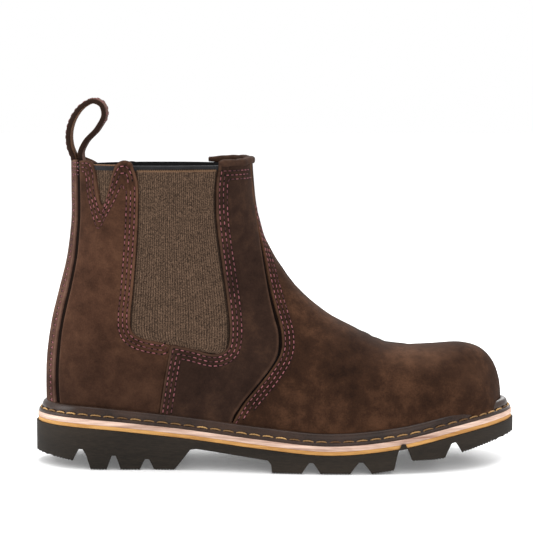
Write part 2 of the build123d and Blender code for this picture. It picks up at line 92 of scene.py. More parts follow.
# ---------------------------------------------------------------- curves and the lasted shape
def smooth(points):
    """A smooth curve y(x) through a few points, held level past its ends."""
    xs, ys = np.array(points, float).T
    widths = np.diff(xs)
    steps = np.diff(ys) / widths
    slopes = np.empty(len(xs))
    slopes[0] = steps[0]
    slopes[-1] = steps[-1]
    slopes[1:-1] = (steps[:-1] * widths[1:] + steps[1:] * widths[:-1]) / (widths[:-1] + widths[1:])

    def value(x):
        x = np.clip(x, xs[0], xs[-1])
        i = np.clip(np.searchsorted(xs, x) - 1, 0, len(xs) - 2)
        u = (x - xs[i]) / widths[i]
        start = (1 + 2 * u) * (1 - u) ** 2 * ys[i] + u * (1 - u) ** 2 * widths[i] * slopes[i]
        end = u * u * (3 - 2 * u) * ys[i + 1] - u * u * (1 - u) * widths[i] * slopes[i + 1]
        return start + end

    return value


def rise(distance, reach, power):
    """From 0 to 1 along a rounded shoulder of the given reach."""
    u = 1 - np.clip(distance / reach, 0, 1)
    return (1 - u ** power) ** (1 / power)


def ease(x, low, high):
    """From 0 to 1 between two values, level at both."""
    u = np.clip((x - low) / (high - low), 0, 1)
    return u * u * (3 - 2 * u)


HEEL_END = -157.5
TOE_END = 157.5
UPPER_TOE = 149.2
LEATHER = 2.0
midsole_top = smooth([(HEEL_END, 33.0), (-125, 32.8), (-75, 28.2), (-10, 21.4), (35, 17.9), (80, 21.8),
                      (120, 29.2), (TOE_END, 33.6)])


def feather(x):
    """The side-view point where the upper meets the welt."""
    return (x, float(midsole_top(x)) + 0.25)


# slanting cuts across the boot: front or top point, back or feather point, where the full width is reached
STATIONS = [
    ((-15.5, 206.0), (-133.0, 206.0), 0.50), ((-14.0, 182.0), (-133.0, 181.0), 0.50),
    ((-12.2, 167.0), (-133.3, 158.0), 0.48), ((-9.8, 157.0), (-136.3, 135.4), 0.46),
    ((-7.2, 148.0), (-141.5, 114.0), 0.44), ((-3.5, 140.5), (-147.0, 92.0), 0.43),
    ((0.5, 133.3), (-150.3, 66.0), 0.42), ((4.1, 128.0), (-150.9, 48.0), 0.42),
    ((7.1, 123.5), feather(-150.6), 0.43), ((8.6, 121.4), feather(-148.6), 0.43),
    ((10.2, 119.4), feather(-144.0), 0.44), ((12.3, 116.7), feather(-135.0), 0.45),
    ((15.0, 113.8), feather(-120.0), 0.47), ((19.0, 109.7), feather(-94.0), 0.52),
    ((26.0, 103.5), feather(-56.0), 0.60), ((36.0, 96.1), feather(-14.0), 0.69),
    ((48.0, 89.6), feather(24.0), 0.77), ((60.0, 83.8), feather(50.0), 0.78),
    ((74.0, 78.0), feather(70.0), 0.76), ((90.0, 76.1), feather(84.0), 0.74),
    ((107.0, 76.6), feather(93.0), 0.74), ((123.0, 77.1), feather(99.0), 0.73),
    ((135.5, 73.4), feather(103.0), 0.70), ((143.5, 65.0), feather(106.0), 0.64),
    ((147.8, 54.0), feather(108.5), 0.50), ((149.2, 44.0), feather(110.5), 0.32),
    ((148.9, 36.0), feather(112.0), 0.22),
]
LAST_STATION = len(STATIONS) - 1


def station_curve(pick):
    """One value of the stations as a smooth curve over their numbers."""
    return smooth([(i, pick(s)) for i, s in enumerate(STATIONS)])


front_x = station_curve(lambda s: s[0][0])
front_z = station_curve(lambda s: s[0][1])
back_x = station_curve(lambda s: s[1][0])
back_z = station_curve(lambda s: s[1][1])
full_width_at = station_curve(lambda s: s[2])
back_line = smooth([(33, -150.6), (48, -150.9), (66, -150.4), (92, -147),
                    (114, -141.5), (135.4, -136.3), (158, -133.3), (181, -133), (206, -133)])
shaft_half_width = smooth([(60, 34), (110, 36), (150, 37.5), (206, 41)])
lateral_plan = smooth([(-150, 31.5), (-75, 32), (-49, 34.5), (-29, 38.3), (-8, 42.3), (15, 46), (45, 47.8),
                       (80, 46.5), (150, 47.5)])
medial_plan = smooth([(-150, 31.5), (-75, 30.5), (-45, 30.5), (-20, 33.5), (15, 40.5), (40, 44.5),
                      (62, 45.8), (85, 43.5), (110, 40), (150, 38)])


def middle_y(x):
    """Where the boot's middle line lies; a right foot's toe turns to the medial side."""
    return 8.0 * ease(x, 60, 150)


def locate(x, z):
    """The station and the share of its cut at which each side-view point lies."""
    low = np.zeros_like(x)
    high = np.full_like(x, LAST_STATION)
    for _ in range(24):
        s = (low + high) / 2
        ahead = (back_x(s) - front_x(s)) * (z - front_z(s)) - (back_z(s) - front_z(s)) * (x - front_x(s))
        low = np.where(ahead > 0, s, low)
        high = np.where(ahead > 0, high, s)
    run_x = back_x(s) - front_x(s)
    run_z = back_z(s) - front_z(s)
    t = ((x - front_x(s)) * run_x + (z - front_z(s)) * run_z) / (run_x ** 2 + run_z ** 2)
    return s, np.clip(t, 0, 1)


def skin(x, z, side):
    """Points on the upper's outer surface; side is -1 on the lateral side and 1 on the medial side."""
    x = np.asarray(x, float)
    z = np.asarray(z, float)
    s, t = locate(x, z)
    plan = np.where(np.asarray(side) < 0, lateral_plan(x), medial_plan(x)) * rise(UPPER_TOE - x, 80, 2.3)
    plan += (shaft_half_width(z) - plan) * ease(z, 60, 135)
    half = plan * rise(t, full_width_at(s), 2.3) * rise(x - back_line(z), 52, 2.15)
    return np.stack([x, side * half + middle_y(x), z], -1)


def unit(vectors):
    """The same directions with length 1."""
    return vectors / np.maximum(np.linalg.norm(vectors, axis=-1, keepdims=True), 1e-9)


# ---------------------------------------------------------------- materials
def rgb(red, green, blue):
    """A linear colour from one given as 0 to 255 on a screen."""
    channels = [c / 255 for c in (red, green, blue)]
    return [c / 12.92 if c <= 0.04045 else ((c + 0.055) / 1.055) ** 2.4 for c in channels] + [1.0]


class Finish:
    """A node material under construction."""

    def __init__(self, name, roughness, metallic=0.0, sheen=0.0, specular=0.5):
        self.material = bpy.data.materials.new(name)
        self.material.use_nodes = True
        self.tree = self.material.node_tree
        self.shader = self.tree.nodes["Principled BSDF"]
        self.shader.inputs["Roughness"].default_value = roughness
        self.shader.inputs["Metallic"].default_value = metallic
        self.shader.inputs["Specular IOR Level"].default_value = specular
        self.shader.inputs["Sheen Weight"].default_value = sheen
        self.shader.inputs["Sheen Roughness"].default_value = 0.45
        self.place = self.tree.nodes.new("ShaderNodeTexCoord").outputs["Object"]

    def link(self, output, socket):
        self.tree.links.new(output, socket)

    def stretched(self, scale):
        mapping = self.tree.nodes.new("ShaderNodeMapping")
        mapping.inputs["Scale"].default_value = scale
        self.link(self.place, mapping.inputs["Vector"])
        return mapping.outputs["Vector"]

    def field(self, name):
        attribute = self.tree.nodes.new("ShaderNodeAttribute")
        attribute.attribute_name = name
        return attribute.outputs["Fac"]

    def noise(self, scale, detail=4.0, rough=0.55, vector=None):
        node = self.tree.nodes.new("ShaderNodeTexNoise")
        node.inputs["Scale"].default_value = scale
        node.inputs["Detail"].default_value = detail
        node.inputs["Roughness"].default_value = rough
        self.link(vector or self.place, node.inputs["Vector"])
        return node.outputs["Fac"]

    def ramp(self, value, stops):
        node = self.tree.nodes.new("ShaderNodeValToRGB")
        elements = node.color_ramp.elements
        for extra in stops[2:]:
            elements.new(extra[0])
        for element, (place, colour) in zip(elements, stops):
            element.position = place
            element.color = colour if len(colour) == 4 else list(colour) + [1.0]
        self.link(value, node.inputs["Fac"])
        return node.outputs["Color"]

    def math(self, kind, first, second):
        node = self.tree.nodes.new("ShaderNodeMath")
        node.operation = kind
        for socket, value in zip(node.inputs, (first, second)):
            if isinstance(value, (int, float)):
                socket.default_value = value
            else:
                self.link(value, socket)
        return node.outputs["Value"]

    def blend(self, *parts):
        """A sum of values, each times its share."""
        total = None
        for value, share in parts:
            part = self.math("MULTIPLY", value, share)
            total = self.math("ADD", total, part) if total else part
        return total

    def mix(self, share, first, second):
        node = self.tree.nodes.new("ShaderNodeMix")
        node.data_type = "RGBA"
        sockets = [s for s in node.inputs if s.enabled]
        for socket, value in zip(sockets, (share, first, second)):
            if isinstance(value, (int, float, list, tuple)):
                socket.default_value = value
            else:
                self.link(value, socket)
        return [s for s in node.outputs if s.enabled][0]

    def colour(self, output):
        self.link(output, self.shader.inputs["Base Color"])

    def rough(self, output, low, high):
        node = self.tree.nodes.new("ShaderNodeMapRange")
        node.inputs["To Min"].default_value = low
        node.inputs["To Max"].default_value = high
        self.link(output, node.inputs["Value"])
        self.link(node.outputs["Result"], self.shader.inputs["Roughness"])

    def bump(self, layers):
        """Stacks bumps; each layer is (height output, depth in millimetres, strength)."""
        normal = None
        for height, depth, strength in layers:
            node = self.tree.nodes.new("ShaderNodeBump")
            node.inputs["Distance"].default_value = depth * MM
            node.inputs["Strength"].default_value = strength
            self.link(height, node.inputs["Height"])
            if normal:
                self.link(normal, node.inputs["Normal"])
            normal = node.outputs["Normal"]
        self.link(normal, self.shader.inputs["Normal"])


def nubuck(name, dark, middle, light, worn_and_lit):
    """Brushed leather: clouded tone, paler along scuffed edges and at painted highlights, and darker from
    painted shade in its thread rows, its seam grooves and towards the bottom.
    """
    f = Finish(name, 0.9, specular=0.07)
    clouds = f.noise(22, 3.0, 0.5)
    patches = f.noise(110, 5.0, 0.62)
    grain = f.noise(900, 4.0, 0.7)
    fibres = f.noise(2600, 2.0, 0.6)
    tone = f.blend((clouds, 0.42), (patches, 0.36), (grain, 0.22))
    base = f.ramp(tone, [(0.38, dark), (0.50, middle), (0.63, light)])
    # paler by one shared field: scuffed edges, and painted highlights that stand for light on the vamp
    wear_and_highlight = f.math("MULTIPLY", f.field("wear_and_highlight"), f.math("MULTIPLY", patches, 0.9))
    base = f.mix(wear_and_highlight, base, worn_and_lit)
    # painted shade: mixes towards this dark colour by the shade field
    base = f.mix(f.field("shade"), base, rgb(20, 13, 10))
    f.colour(base)
    f.rough(grain, 0.76, 0.95)
    f.bump([(patches, 0.5, 0.35), (grain, 0.22, 0.55), (fibres, 0.08, 0.5)])
    return f.material


vamp_leather = nubuck("vamp_leather", rgb(33, 19, 12), rgb(51, 32, 21), rgb(78, 52, 36), rgb(112, 80, 60))
side_leather = nubuck("side_leather", rgb(32, 20, 15), rgb(46, 31, 24), rgb(66, 46, 34), rgb(104, 76, 60))
quarter_leather = nubuck("quarter_leather", rgb(44, 27, 18), rgb(66, 43, 31), rgb(86, 59, 43),
                         rgb(118, 86, 68))
strip_leather = nubuck("strip_leather", rgb(56, 36, 29), rgb(80, 56, 46), rgb(104, 76, 63),
                       rgb(132, 102, 88))


def woven_elastic():
    """Speckled ribbed elastic with a pale cut edge, and painted shade from its shade field."""
    f = Finish("woven_elastic", 0.95, specular=0.08)
    speckle = f.noise(1450, 3.0, 0.65, f.stretched((1.0, 1.0, 0.8)))
    blotches = f.noise(240, 4.0, 0.6)
    knots = f.field("rib")
    tone = f.blend((speckle, 0.76), (blotches, 0.12), (knots, 0.12))
    base = f.ramp(tone, [(0.36, rgb(34, 26, 21)), (0.50, rgb(70, 55, 44)), (0.64, rgb(108, 86, 70))])
    base = f.mix(f.field("edge"), base, rgb(126, 96, 72))
    # painted shade: mixes towards this dark colour by the shade field
    base = f.mix(f.field("shade"), base, rgb(26, 20, 16))
    f.colour(base)
    f.bump([(speckle, 0.35, 0.8), (blotches, 0.3, 0.2)])
    return f.material


def cloth(name, dark, light, roughness=0.9, sheen=0.1, scale=1300):
    """Plain matt cloth with a fine weave."""
    f = Finish(name, roughness, sheen=sheen * 0.3, specular=0.12)
    weave = f.noise(scale, 2.0, 0.5)
    waves = f.noise(120, 4.0, 0.55)
    tone = f.blend((weave, 0.55), (waves, 0.45))
    f.colour(f.ramp(tone, [(0.36, dark), (0.64, light)]))
    f.bump([(waves, 0.4, 0.25), (weave, 0.18, 0.6)])
    return f.material


def thread_finish(name, dark, light):
    """Sewing thread; each stitch has its own tint."""
    f = Finish(name, 0.62, specular=0.2)
    tone = f.blend((f.field("tint"), 0.6), (f.noise(2200, 2.0), 0.4))
    f.colour(f.ramp(tone, [(0.2, dark), (0.8, light)]))
    f.bump([(f.noise(3000, 2.0), 0.1, 0.5)])
    return f.material


def smooth_finish(name, dark, light, roughness, specular=0.5, scale=60, fine=900, metallic=0.0,
                  stretch=(1.0, 1.0, 1.0), depth=0.15):
    """Rubber, board, metal or smooth leather: streaks of two sizes, stretched along the piece."""
    f = Finish(name, roughness, metallic=metallic, specular=specular)
    place = f.stretched(stretch)
    broad = f.noise(scale, 5.0, 0.6, place)
    small = f.noise(fine, 3.0, 0.6, place)
    tone = f.blend((broad, 0.6), (small, 0.4))
    f.colour(f.ramp(tone, [(0.36, dark), (0.64, light)]))
    f.rough(small, max(roughness - 0.08, 0.05), min(roughness + 0.1, 1.0))
    f.bump([(broad, depth * 2, 0.3), (small, depth, 0.5)])
    return f.material


elastic = woven_elastic()
# painted shade: near-black cloth standing for the shade inside the needle holes
painted_hole_shade = cloth("painted_hole_shade", rgb(10, 7, 6), rgb(22, 15, 12))
pink_thread = thread_finish("pink_thread", rgb(62, 30, 34), rgb(146, 88, 94))
welt_rope = thread_finish("welt_rope", rgb(78, 52, 30), rgb(190, 150, 98))
rubber = smooth_finish("buffed_rubber", rgb(23, 19, 15), rgb(46, 39, 32), 0.7, specular=0.16,
                       scale=18, fine=700, stretch=(0.35, 0.35, 2.6), depth=0.2)
beige_board = smooth_finish("leather_board", rgb(136, 100, 84), rgb(230, 200, 182), 0.7, specular=0.15,
                            scale=60, fine=420, stretch=(0.16, 0.16, 3.2), depth=0.25)
tan_board = smooth_finish("tan_layer", rgb(150, 98, 46), rgb(212, 162, 96), 0.6, specular=0.2,
                          scale=50, fine=500, stretch=(0.2, 0.2, 2.5), depth=0.15)
welt_brown = smooth_finish("storm_welt", rgb(30, 18, 12), rgb(58, 40, 31), 0.3, specular=0.24,
                           scale=50, fine=1200, depth=0.06)
black_binding = cloth("black_binding", rgb(16, 16, 17), rgb(38, 38, 40), 0.6, 0.3, 1800)
black_lining = cloth("black_lining", rgb(14, 14, 15), rgb(34, 33, 34), 0.95, 0.25, 1500)


def strap_leather():
    """Suede on the inner face, dark cut edges, and a scuffed outer face."""
    f = Finish("strap_leather", 0.95, specular=0.06)
    patches = f.noise(170, 5.0, 0.6)
    fuzz = f.noise(1500, 3.0, 0.65)
    faces = f.ramp(f.field("face"), [(0.02, rgb(128, 92, 68)), (0.14, rgb(44, 31, 25)),
                                                    (0.86, rgb(48, 35, 29)), (0.98, rgb(104, 76, 66))])
    tone = f.blend((patches, 0.6), (fuzz, 0.4))
    soiled = f.ramp(tone, [(0.38, (0.0, 0.0, 0.0)), (0.66, (0.55, 0.55, 0.55))])
    f.colour(f.mix(soiled, faces, rgb(26, 17, 13)))
    f.bump([(patches, 0.5, 0.4), (fuzz, 0.25, 0.7)])
    return f.material


strap_edge = strap_leather()
footbed_cloth = cloth("footbed_cloth", rgb(40, 38, 38), rgb(74, 70, 68), 0.95, 0.2, 1100)
steel = smooth_finish("pressed_steel", rgb(120, 122, 124), rgb(168, 170, 172), 0.35, metallic=1.0, scale=40)
cork = smooth_finish("ground_cork", rgb(110, 74, 44), rgb(178, 130, 84), 0.9, scale=420, fine=1600,
                     depth=0.4)
canvas = cloth("rib_canvas", rgb(176, 166, 146), rgb(214, 206, 188), scale=900)
board = smooth_finish("insole_board", rgb(136, 98, 66), rgb(178, 136, 96), 0.75, scale=90, fine=800)
edge_rubber = smooth_finish("cap_edge_rubber", rgb(28, 28, 28), rgb(44, 44, 44), 0.7)
counter_board = smooth_finish("counter_board", rgb(150, 134, 110), rgb(190, 174, 146), 0.8)


# ---------------------------------------------------------------- mesh making
def add_mesh(name, points, faces, material, fields=None, recalculate=True, sharp=None):
    """An object from points in millimetres; fields hold one number for each point."""
    mesh = bpy.data.meshes.new(name)
    mesh.from_pydata((np.asarray(points) * MM).tolist(), [], faces)
    if recalculate:
        work = bmesh.new()
        work.from_mesh(mesh)
        bmesh.ops.recalc_face_normals(work, faces=work.faces)
        work.to_mesh(mesh)
        work.free()
    mesh.shade_smooth()
    if sharp:
        mesh.set_sharp_from_angle(angle=math.radians(sharp))
    for field, values in (fields or {}).items():
        layer = mesh.attributes.new(field, "FLOAT", "POINT")
        layer.data.foreach_set("value", np.asarray(values, np.float32).ravel())
    mesh.materials.append(material)
    piece = bpy.data.objects.new(name, mesh)
    bpy.context.scene.collection.objects.link(piece)
    return piece


def add_piece(name, points, faces, material, slot, nodes, sharp=None, fields=None):
    """A piece that rides on the boot and stands for CAD nodes."""
    piece = add_mesh(name, points, faces.tolist(), material, fields, sharp=sharp)
    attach(piece, "boot")
    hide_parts(*nodes)


def grid_faces(rows, columns, first=0, closed=False):
    """The four-cornered faces of a grid of points; closed joins its last column to its first."""
    ahead = np.arange(columns if closed else columns - 1)
    beside = (ahead + 1) % columns
    start = (np.arange(rows - 1) * columns)[:, None] + first
    quads = np.stack([start + ahead, start + beside, start + columns + beside, start + columns + ahead], -1)
    return quads.reshape(-1, 4)


def capped(rows, columns, first=0):
    """The faces of a tube of closed rings, with a cap at each end."""
    faces = grid_faces(rows, columns, first, closed=True).tolist()
    faces.append([first + k for k in range(columns)][::-1])
    faces.append([first + (rows - 1) * columns + k for k in range(columns)])
    return faces


def border_index(rows, columns):
    """The numbers of a grid's border points, once round."""
    top = np.arange(columns)
    right = np.arange(1, rows) * columns + columns - 1
    bottom = (rows - 1) * columns + np.arange(columns - 2, -1, -1)
    left = np.arange(rows - 2, 0, -1) * columns
    return np.concatenate([top, right, bottom, left])


def shell(outer, inner):
    """The points and faces of a closed sheet between two grids."""
    rows, columns = outer.shape[:2]
    count = rows * columns
    points = np.concatenate([outer.reshape(-1, 3), inner.reshape(-1, 3)])
    rim = border_index(rows, columns)
    beside = np.roll(rim, -1)
    walls = np.stack([rim, beside, beside + count, rim + count], -1)
    faces = np.concatenate([grid_faces(rows, columns), grid_faces(rows, columns, count), walls])
    return points, faces


def add_sheet(name, outer, inner, material, slot, nodes, fields):
    """A piece between two grids; fields hold one number for each grid point."""
    points, faces = shell(outer, inner)
    add_piece(name, points, faces, material, slot, nodes,
              fields={key: np.tile(values.ravel(), 2) for key, values in fields.items()})


def outward(grid):
    """Directions out of the boot at a grid's points, also where a rounded corner folds the grid."""
    normal = unit(np.cross(np.gradient(grid, axis=1), np.gradient(grid, axis=0)))
    off_middle = grid[..., 1] - middle_y(grid[..., 0])
    if (normal[..., 1] * off_middle).mean() < 0:
        normal = -normal
    folded = (normal[..., 1] * off_middle < 0) & (np.abs(off_middle) > 5)
    normal[folded] *= -1
    return normal


def distance_to(grid, line):
    """Distance of each grid point from a polyline."""
    flat = grid.reshape(-1, 3)
    nearest = np.full(len(flat), 1e9)
    for start, end in zip(line[:-1], line[1:]):
        step = end - start
        share = np.clip((flat - start) @ step / max(step @ step, 1e-9), 0, 1)
        gap = flat - start - share[:, None] * step
        nearest = np.minimum(nearest, np.einsum("ij,ij->i", gap, gap))
    return np.sqrt(nearest).reshape(grid.shape[:2])


def arc_lengths(points):
    """The distance along a line at each of its points."""
    steps = np.linalg.norm(np.diff(points, axis=0), axis=1)
    return np.concatenate([[0], np.cumsum(steps)])


EDGE_STEPS = np.array([0, 0.12, 0.35, 0.7, 1.1, 1.6, 2.2, 2.8, 3.5, 4.2, 4.9, 5.6, 6.3, 6.9, 7.6, 8.3, 9.4])


def spread(length, middle):
    """Distances along a length, close together near both of its ends."""
    edge = EDGE_STEPS * min(1.0, 0.45 * length / EDGE_STEPS[-1])
    inner = np.linspace(edge[-1], length - edge[-1], middle + 2)[1:-1]
    return np.concatenate([edge, inner, length - edge[::-1]])


def sample(point_at, first, last, rows, columns):
    """A grid on the skin with close rows and columns along its border."""
    coarse = np.linspace(0, 1, 161)
    levels = np.linspace(first, last, 161)
    down = point_at(levels, np.full(161, 0.3))
    arc = arc_lengths(down)
    v = np.interp(spread(arc[-1], rows), arc, levels)
    across = point_at(*np.meshgrid(v, coarse, indexing="ij"))
    w = []
    for row in across:
        arc = arc_lengths(row)
        w.append(np.interp(spread(arc[-1], columns), arc, coarse))
    w = np.array(w)
    return point_at(np.repeat(v[:, None], w.shape[1], 1), w)


def side_patch(rows, side, top=None, top_rows=0):
    """A patch on one side between the ends of side-view rows; top bends its upper edge to another line."""
    index = range(len(rows))
    left_x = smooth([(i, rows[i][0][0]) for i in index])
    left_z = smooth([(i, rows[i][0][1]) for i in index])
    right_x = smooth([(i, rows[i][1][0]) for i in index])
    right_z = smooth([(i, rows[i][1][1]) for i in index])
    if top:
        line = np.array(top, float)
        share = arc_lengths(line) / arc_lengths(line)[-1]
        top_x = smooth(list(zip(share, line[:, 0])))
        top_z = smooth(list(zip(share, line[:, 1])))

    def point_at(v, w):
        x = left_x(v) + (right_x(v) - left_x(v)) * w
        z = left_z(v) + (right_z(v) - left_z(v)) * w
        if top:
            fade = np.clip(1 - v / top_rows, 0, 1)
            x = x + fade * (top_x(w) - left_x(0.0) - (right_x(0.0) - left_x(0.0)) * w)
            z = z + fade * (top_z(w) - left_z(0.0) - (right_z(0.0) - left_z(0.0)) * w)
        return skin(x, z, side)

    return point_at


def wrap_patch(edges, ridge_at):
    """A patch from a lateral edge, over the front or back line, to the same edge on the medial side."""
    index = range(len(edges))
    edge_x = smooth([(i, edges[i][0]) for i in index])
    edge_z = smooth([(i, edges[i][1]) for i in index])

    def point_at(v, w):
        ridge_x, ridge_z = ridge_at(v)
        u = np.sin(np.pi / 2 * (1 - np.abs(2 * w - 1)))
        side = np.where(w < 0.5, -1.0, 1.0)
        x = edge_x(v) + (ridge_x - edge_x(v)) * u
        z = edge_z(v) + (ridge_z - edge_z(v)) * u
        points = skin(x, z, side)
        points[..., 1] = np.where(u > 0.99999, middle_y(x), points[..., 1])
        return points

    return point_at


def wander(grid, scale, seed):
    """A slow random height between about -1 and 1, the same on every run."""
    flat = grid.reshape(-1, 3) / scale + seed
    return np.array([noise.noise(p) for p in flat.tolist()]).reshape(grid.shape[:2])


THREAD_ROWS = (2.2, 4.9, 7.6)
EDGE_ROLL = 1.1
STITCH_PITCH = 3.6
thread = {"spots": [], "alongs": [], "ups": []}


def along(at, arc, points):
    """The point at a distance along a line."""
    return np.array([np.interp(at, arc, points[:, k]) for k in range(3)])


def lay_thread(spots, ups, start=0.0):
    """Puts stitches end to end along a path on the leather."""
    if len(spots) < 3:
        return
    arc = arc_lengths(spots)
    for centre in np.arange(start + STITCH_PITCH / 2, arc[-1] - STITCH_PITCH / 3, STITCH_PITCH):
        thread["spots"].append(along(centre, arc, spots))
        thread["alongs"].append(along(centre + 0.8, arc, spots) - along(centre - 0.8, arc, spots))
        thread["ups"].append(along(centre, arc, ups))


def contours(grid, normal, field, level):
    """Lines at an equal distance from a seam, each as points with their outward directions."""
    above = field >= level
    corners = above[:-1, :-1].astype(int) + above[1:, :-1] + above[:-1, 1:] + above[1:, 1:]
    places = {}
    links = {}
    for i, j in zip(*np.nonzero((corners > 0) & (corners < 4))):
        edges = (((i, j), (i, j + 1)), ((i, j + 1), (i + 1, j + 1)), ((i + 1, j), (i + 1, j + 1)),
                 ((i, j), (i + 1, j)))
        hits = [(a, b) for a, b in edges if above[a] != above[b]]
        for a, b in hits:
            share = (level - field[a]) / (field[b] - field[a])
            places[(a, b)] = (grid[a] + (grid[b] - grid[a]) * share, normal[a])
        for first, second in zip(hits[::2], hits[1::2]):
            links.setdefault(first, []).append(second)
            links.setdefault(second, []).append(first)
    starts = [key for key in links if len(links[key]) == 1] + list(links)
    used = set()
    lines = []
    for start in starts:
        if start in used:
            continue
        chain = [start]
        used.add(start)
        while True:
            ahead = [key for key in links[chain[-1]] if key not in used]
            if not ahead:
                break
            chain.append(ahead[0])
            used.add(ahead[0])
        lines.append([np.array([places[key][k] for key in chain]) for k in range(2)])
    return lines


def contour(grid, normal, field, level, backwards=False):
    """Where each row first comes as far from a seam as level, from its left or its right end."""
    spots = []
    ups = []
    for row, up, value in zip(grid, normal, field):
        if backwards:
            row, up, value = row[::-1], up[::-1], value[::-1]
        k = int(np.argmax(value >= level))
        if k == 0 or value[0] > level * 0.6:
            continue
        share = (level - value[k - 1]) / (value[k] - value[k - 1])
        spots.append(row[k - 1] + (row[k] - row[k - 1]) * share)
        ups.append(up[k])
    return np.array(spots), np.array(ups)


def leather_piece(name, grid, material, nodes, seams, flanges=(), seed=0.0, lift=0.0, sink=None, painted_highlights=(),
                  dim=0.12):
    """A leather panel: rolled edges, sunk thread rows in painted shade, scuffed edges, painted highlights at
    given places, painted shade towards the bottom, and flanges in painted shade that pass under a neighbour.

    seams holds (line, levels) pairs; the panel dips along each level's distance from the line.
    """
    normal = outward(grid)
    rim = border_index(*grid.shape[:2])
    line = grid.reshape(-1, 3)[rim]
    edge = distance_to(grid, np.concatenate([line, line[:1]])[::2])
    near = np.clip(edge / EDGE_ROLL, 0, 1)
    height = lift - EDGE_ROLL * (1 - np.sqrt(1 - (1 - near) ** 2))
    height += 0.22 * wander(grid, 26.0, seed) * ease(edge, 2, 14)
    height += 0.06 * wander(grid, 5.0, seed + 7)
    # painted shade: darker towards the bottom, by dim
    shade = dim * (1 - ease(grid[..., 2], 34, 120))
    for seam, levels in seams:
        gap = distance_to(grid, seam)
        for level in levels:
            trench = np.exp(-((gap - level) / 0.6) ** 2)
            height -= 0.3 * trench
            # painted shade in the sunk thread rows
            shade = np.maximum(shade, 0.5 * trench)
    if sink is not None:
        height -= sink(grid)
    wear_and_highlight = 0.55 * np.exp(-((edge - 0.7) / 0.9) ** 2)
    # painted highlights: paler spots at the given places, standing for light on the leather
    for place, reach, amount in painted_highlights:
        spot = np.linalg.norm((grid - np.array(place)) / reach, axis=-1)
        wear_and_highlight = np.maximum(wear_and_highlight, amount * np.exp(-spot ** 2))
    outer = grid + normal * height[..., None]
    inner = grid - normal * LEATHER
    fields = {"wear_and_highlight": wear_and_highlight, "shade": shade}
    for where in flanges:
        outer, inner, fields = add_flange(outer, inner, fields, where)
    add_sheet(name, outer, inner, material, "leather", nodes, fields)
    return normal, height


def add_flange(outer, inner, fields, where):
    """Carries one border on by a few millimetres, lower down, so that a seam shows no hole; the added strip
    is painted almost fully in shade, a painted shade for the seam's groove.
    """
    first, beside = (0, 2) if where == "left" else (-1, -3)
    tangent = unit(inner[:, first] - inner[:, beside])
    up = unit(outer[:, beside] - inner[:, beside])
    extra_out = []
    extra_in = []
    for reach, depth in ((0.1, 0.5), (3.2, 0.35)):
        extra_out.append(inner[:, first] + tangent * reach + up * depth)
        extra_in.append(inner[:, first] + tangent * reach - up * 0.3)
    if where == "left":
        outer = np.concatenate([np.stack(extra_out[::-1], 1), outer], 1)
        inner = np.concatenate([np.stack(extra_in[::-1], 1), inner], 1)
    else:
        outer = np.concatenate([outer, np.stack(extra_out, 1)], 1)
        inner = np.concatenate([inner, np.stack(extra_in, 1)], 1)
    result = {}
    for key, values in fields.items():
        # painted shade: the flange strip gets nearly the full shade colour, so the seam reads as a dark
        # groove
        pad = np.full((len(values), 2), 0.95 if key == "shade" else 0.0)
        result[key] = np.concatenate([pad, values] if where == "left" else [values, pad], 1)
    return outer, inner, result


def rows_on(grid, normal, height, lines, levels, keep=None):
    """Stitches on a panel's outer surface, in rows at each level's distance from the nearest seam line."""
    gap = np.minimum.reduce([distance_to(grid, line) for line in lines])
    surface = grid + normal * (height + 0.1)[..., None]
    for i, level in enumerate(levels):
        for spots, ups in contours(surface, normal, gap, level):
            kept = keep(spots) if keep else np.full(len(spots), True)
            lay_thread(spots[kept], ups[kept], start=1.2 * i)


def skin_line(line, side):
    """Points on the skin along a smooth side-view line, with their outward directions."""
    given = np.array(line, float)
    arc = arc_lengths(given)
    at = np.arange(0, arc[-1], 0.6)
    x = smooth(list(zip(arc, given[:, 0])))(at)
    z = smooth(list(zip(arc, given[:, 1])))(at)
    spots = skin(x, z, side)
    along_x = skin(x + 0.2, z, side) - spots
    along_z = skin(x, z + 0.2, side) - spots
    ups = unit(np.cross(along_x, along_z))
    return spots, ups * np.sign(ups[:, 1:2] * side)


# ---------------------------------------------------------------- the upper's panels
# each row of a panel runs from its back end to its front end, seen from the side, and rows go downwards
QUARTER_ROWS = [
    ((-126.6, 198.4), (-90.6, 195.0)), ((-126.2, 182), (-87.6, 184)), ((-126.2, 164), (-87.9, 164)),
    ((-127.2, 150), (-88.7, 150)), ((-128.6, 136), (-89.9, 134)), ((-132.2, 118), (-91.6, 115)),
    ((-135.8, 103), (-93.4, 99)), ((-137.6, 95), (-92.4, 89.0)), ((-138.9, 88), (-85.0, 84.2)),
    ((-139.7, 82.4), (-68.0, 80.4)), ((-140.2, 77), (-68.4, 73.5)), ((-141.4, 62), (-70.9, 62)),
    ((-141.1, 46), (-73.6, 46)), (feather(-139.8), feather(-76.0)),
]
QUARTER_TOP = [
    (-126.6, 198.4), (-121.5, 199.0), (-118.0, 197.6), (-116.2, 193.5), (-114.9, 186.5), (-113.7, 179.0),
    (-112.7, 173.2), (-111.2, 170.4), (-109.8, 171.8), (-108.3, 176.5), (-106.2, 184.0), (-104.2, 191.0),
    (-102.2, 196.2), (-99.0, 199.0), (-94.6, 199.2), (-91.4, 197.4), (-90.6, 195.0),
]
